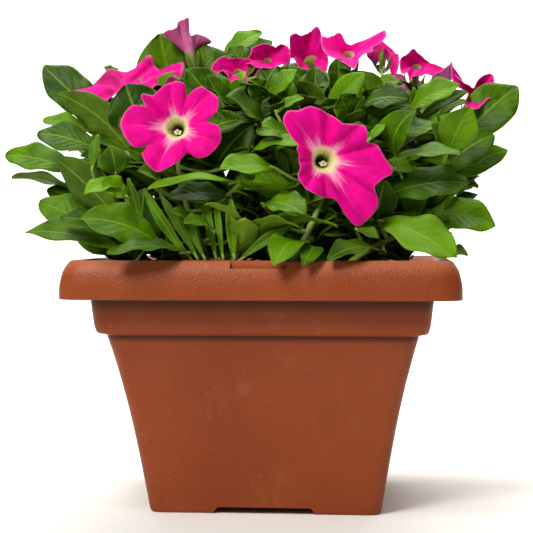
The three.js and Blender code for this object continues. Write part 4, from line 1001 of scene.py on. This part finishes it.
def room(point):
    """Below 1 inside the bush, in the plant's frame. The front is kept back behind the placed leaves."""
    x, y, z = point
    depth = 96 if y < 0 else 138
    outline = (abs(x + 2) / 172) ** 2.6 + (abs(y) / depth) ** 2.4
    return outline + (max(0, z - 250) / 108) ** 2.4 + (max(0, 250 - z) / 60) ** 4


def leaf_places():
    """Where a leaf may start, and which way it would grow."""
    leaves = []
    for number, (path, _) in enumerate(SHOOTS.values()):
        curve = smooth_path(path, 40)
        for k in range(LEAVES_UP_A_SHOOT):
            point = curve[9 + int(k * 2.4)]
            angle = number * 1.3 + k * GOLDEN_ANGLE
            outward = np.array([math.cos(angle), math.sin(angle), random.uniform(0.1, 0.7)])
            leaves.append((point, outward))
    for k in range(SURFACE_LEAVES):
        z = random.uniform(198, 335)
        angle = k * GOLDEN_ANGLE
        direction = np.array([math.cos(angle), math.sin(angle), 0])
        low, high = 0.0, 220.0
        for _ in range(12):
            middle = (low + high) / 2
            inside = room(direction * middle + UP * z) < 1
            low, high = (middle, high) if inside else (low, middle)
        point = direction * (low * random.uniform(0.55, 0.8)) + UP * (z - 12)
        outward = direction * 0.8 + np.array([*random.normal(0, 0.3, 2), random.uniform(0.0, 0.9)])
        leaves.append((point, outward))
    for _ in range(TOP_LEAVES):
        x, y = random.uniform(-130, 160), random.uniform(-60, 100)
        point = np.array([x, y, random.uniform(290, 330)])
        leaves.append((point, np.array([*random.normal(0, 0.5, 2), 1.0])))
    for _ in range(LOW_LEAVES):
        x, y = random.uniform(-115, 115), random.uniform(-72, 70)
        point = np.array([x, y, random.uniform(184, 222)])
        leaves.append((point, np.array([*random.normal(0, 0.7, 2), random.uniform(0.1, 0.9)])))
    return leaves


def filling_leaves():
    """Leaves spiral up every shoot by the golden angle, and more stand out from the bush's surface."""
    made = []
    for point, outward in leaf_places():
        outward = unit(outward)
        length = random.uniform(44, 64)
        base = point + outward * 6
        tip = base + outward * length
        while room(tip) > 1 and length > 30:
            length -= 4
            tip = base + outward * length
        if room(tip) > 1 or tip[2] < 190 or base[2] < 178:
            continue
        face = UP * 0.8 + 0.5 * outward + random.normal(0, 0.25, 3) + np.array([0, -0.35, 0])
        width = length * random.uniform(0.44, 0.6)
        made.append((tuple(base), tuple(tip), width, tuple(face), random.uniform(0.05, 0.2),
                     random.uniform(0.05, 0.3), random.uniform(0.1, 0.7)))
    return made


# The way over the mix and the rim: distance from the planter's middle, and height.
SHELF = [(0, 177), (124, 177), (126, 179), (128.5, 188), (136, 196), (139, 198.5), (146, 197.5),
         (150.5, 190), (152, 0)]


def over_rim(points):
    """Leaves rest on the rim's crest and on the mix, and don't pass through them."""
    out = np.abs(points[:, :2]).max(1)
    height = np.maximum(points[:, 2], np.interp(out, *zip(*SHELF)) + 0.6)
    return np.column_stack([points[:, :2], height])


def node_middle(node):
    """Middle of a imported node, in the plant's frame, as x and y."""
    low, high = (np.array(corner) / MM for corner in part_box(node))
    return rotated(*(low + high)[:2] / 2, -PLANT_TURN)


def build_leaves():
    nodes = sorted(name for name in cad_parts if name.startswith("leaf_"))
    source = np.random.default_rng(5)
    finish = [LEAF_TOP, LEAF_UNDER, STEM]
    for side, start, end in (("left", -math.inf, -45), ("front", -45, 60), ("right", 60, math.inf)):
        piece = Piece(f"foliage_outer_{side}", finish, "leaf")
        for leaf in LEAVES:
            if start <= (leaf[0][0] + leaf[1][0]) / 2 < end:
                add_leaf(piece, leaf, source)
                add_stalk(piece, leaf)
        piece.build(*[node for node in nodes if start <= node_middle(node)[0] < end], drape=over_rim)
    fillers = filling_leaves()
    for number, quarter in enumerate("abcd"):
        piece = Piece(f"foliage_inner_{quarter}", finish, "leaf")
        for leaf in fillers:
            x, y, _ = leaf[0]
            if number == (x >= 0) + 2 * (y >= 20):
                add_leaf(piece, leaf, source, 12, 7)
                add_stalk(piece, leaf)
        piece.build(drape=over_rim)


def build_flowers():
    for number, (name, flower) in enumerate(FLOWERS.items()):
        piece = Piece(f"bloom_{name}", [PETAL_FACE, PETAL_BACK], "petal")
        add_corolla(piece, flower, 20 + number)
        piece.build(*[node for node in (f"corolla_{name}",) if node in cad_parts])
        stamens = Piece(f"stamens_{name}", [ANTHER, STIGMA], "petal")
        add_stamens(stamens, flower)
        stamens.build()


# ------------------------------------------------------------------ studio

# Places are in metres here, and powers in watts.

LIGHTS = {
    "key": dict(place=(-0.6, -1.45, 1.4), aim=(0, 0, 0.24), size=0.55, power=26),
    "top": dict(place=(-0.45, -0.9, 1.75), aim=(0, 0, 0.24), size=0.5, power=12),
    "backdrop": dict(place=(0, 0.9, 2.2), aim=(0, 2.6, 0.5), size=2.0, power=110),
}
LIGHT_COLOUR = (1.0, 0.975, 0.9)
WORLD_STRENGTH = 0.13
CAMERA_PLACE = (0.1038, -1.2959, 0.2164)
CAMERA_DIP = math.radians(1.21)
CAMERA_TURN = math.radians(4.83)


def studio():
    """White paper on the floor, curved up behind the object, under three lights."""
    rows = [(y, 0.0) for y in (-3.0, -1.0, 0.0, 1.6)]
    rows += [(1.6 + 1.2 * math.sin(a), 1.2 - 1.2 * math.cos(a)) for a in np.linspace(0.15, math.pi / 2, 10)]
    rows.append((2.8, 4.0))
    mesh = bpy.data.meshes.new("floor")
    points = [(x, y, z) for y, z in rows for x in (-4.0, 4.0)]
    mesh.from_pydata(points, [], [(2 * i, 2 * i + 1, 2 * i + 3, 2 * i + 2) for i in range(len(rows) - 1)])
    mesh.shade_smooth()
    paper = Nodes("floor_paper", Roughness=0.9)
    paper.set("Base Color", (0.92, 0.92, 0.92))
    mesh.materials.append(paper.material)
    new_object("floor", mesh)

    world = bpy.data.worlds.new("studio")
    world.use_nodes = True
    background = world.node_tree.nodes["Background"]
    background.inputs["Color"].default_value = (1, 1, 1, 1)
    background.inputs["Strength"].default_value = WORLD_STRENGTH
    bpy.context.scene.world = world
    for name, light in LIGHTS.items():
        data = bpy.data.lights.new(name, "AREA")
        data.size = light["size"]
        data.energy = light["power"]
        data.color = LIGHT_COLOUR
        lamp = new_object(name, data)
        lamp.location = light["place"]
        x, y, z = np.array(light["aim"]) - np.array(light["place"])
        lamp.rotation_euler = (math.atan2(math.hypot(x, y), -z), 0, math.atan2(y, x) - math.pi / 2)


def camera():
    bpy.context.scene.view_settings.view_transform = "Standard"
    data = bpy.data.cameras.new("camera")
    data.sensor_width = 36
    data.lens = 106.5
    eye = new_object("camera", data)
    eye.location = CAMERA_PLACE
    eye.rotation_euler = (math.pi / 2 - CAMERA_DIP, 0, CAMERA_TURN)
    bpy.context.scene.camera = eye


camera()
studio()
build_planter()
build_mix()
build_shoots()
build_flowers()
build_leaves()
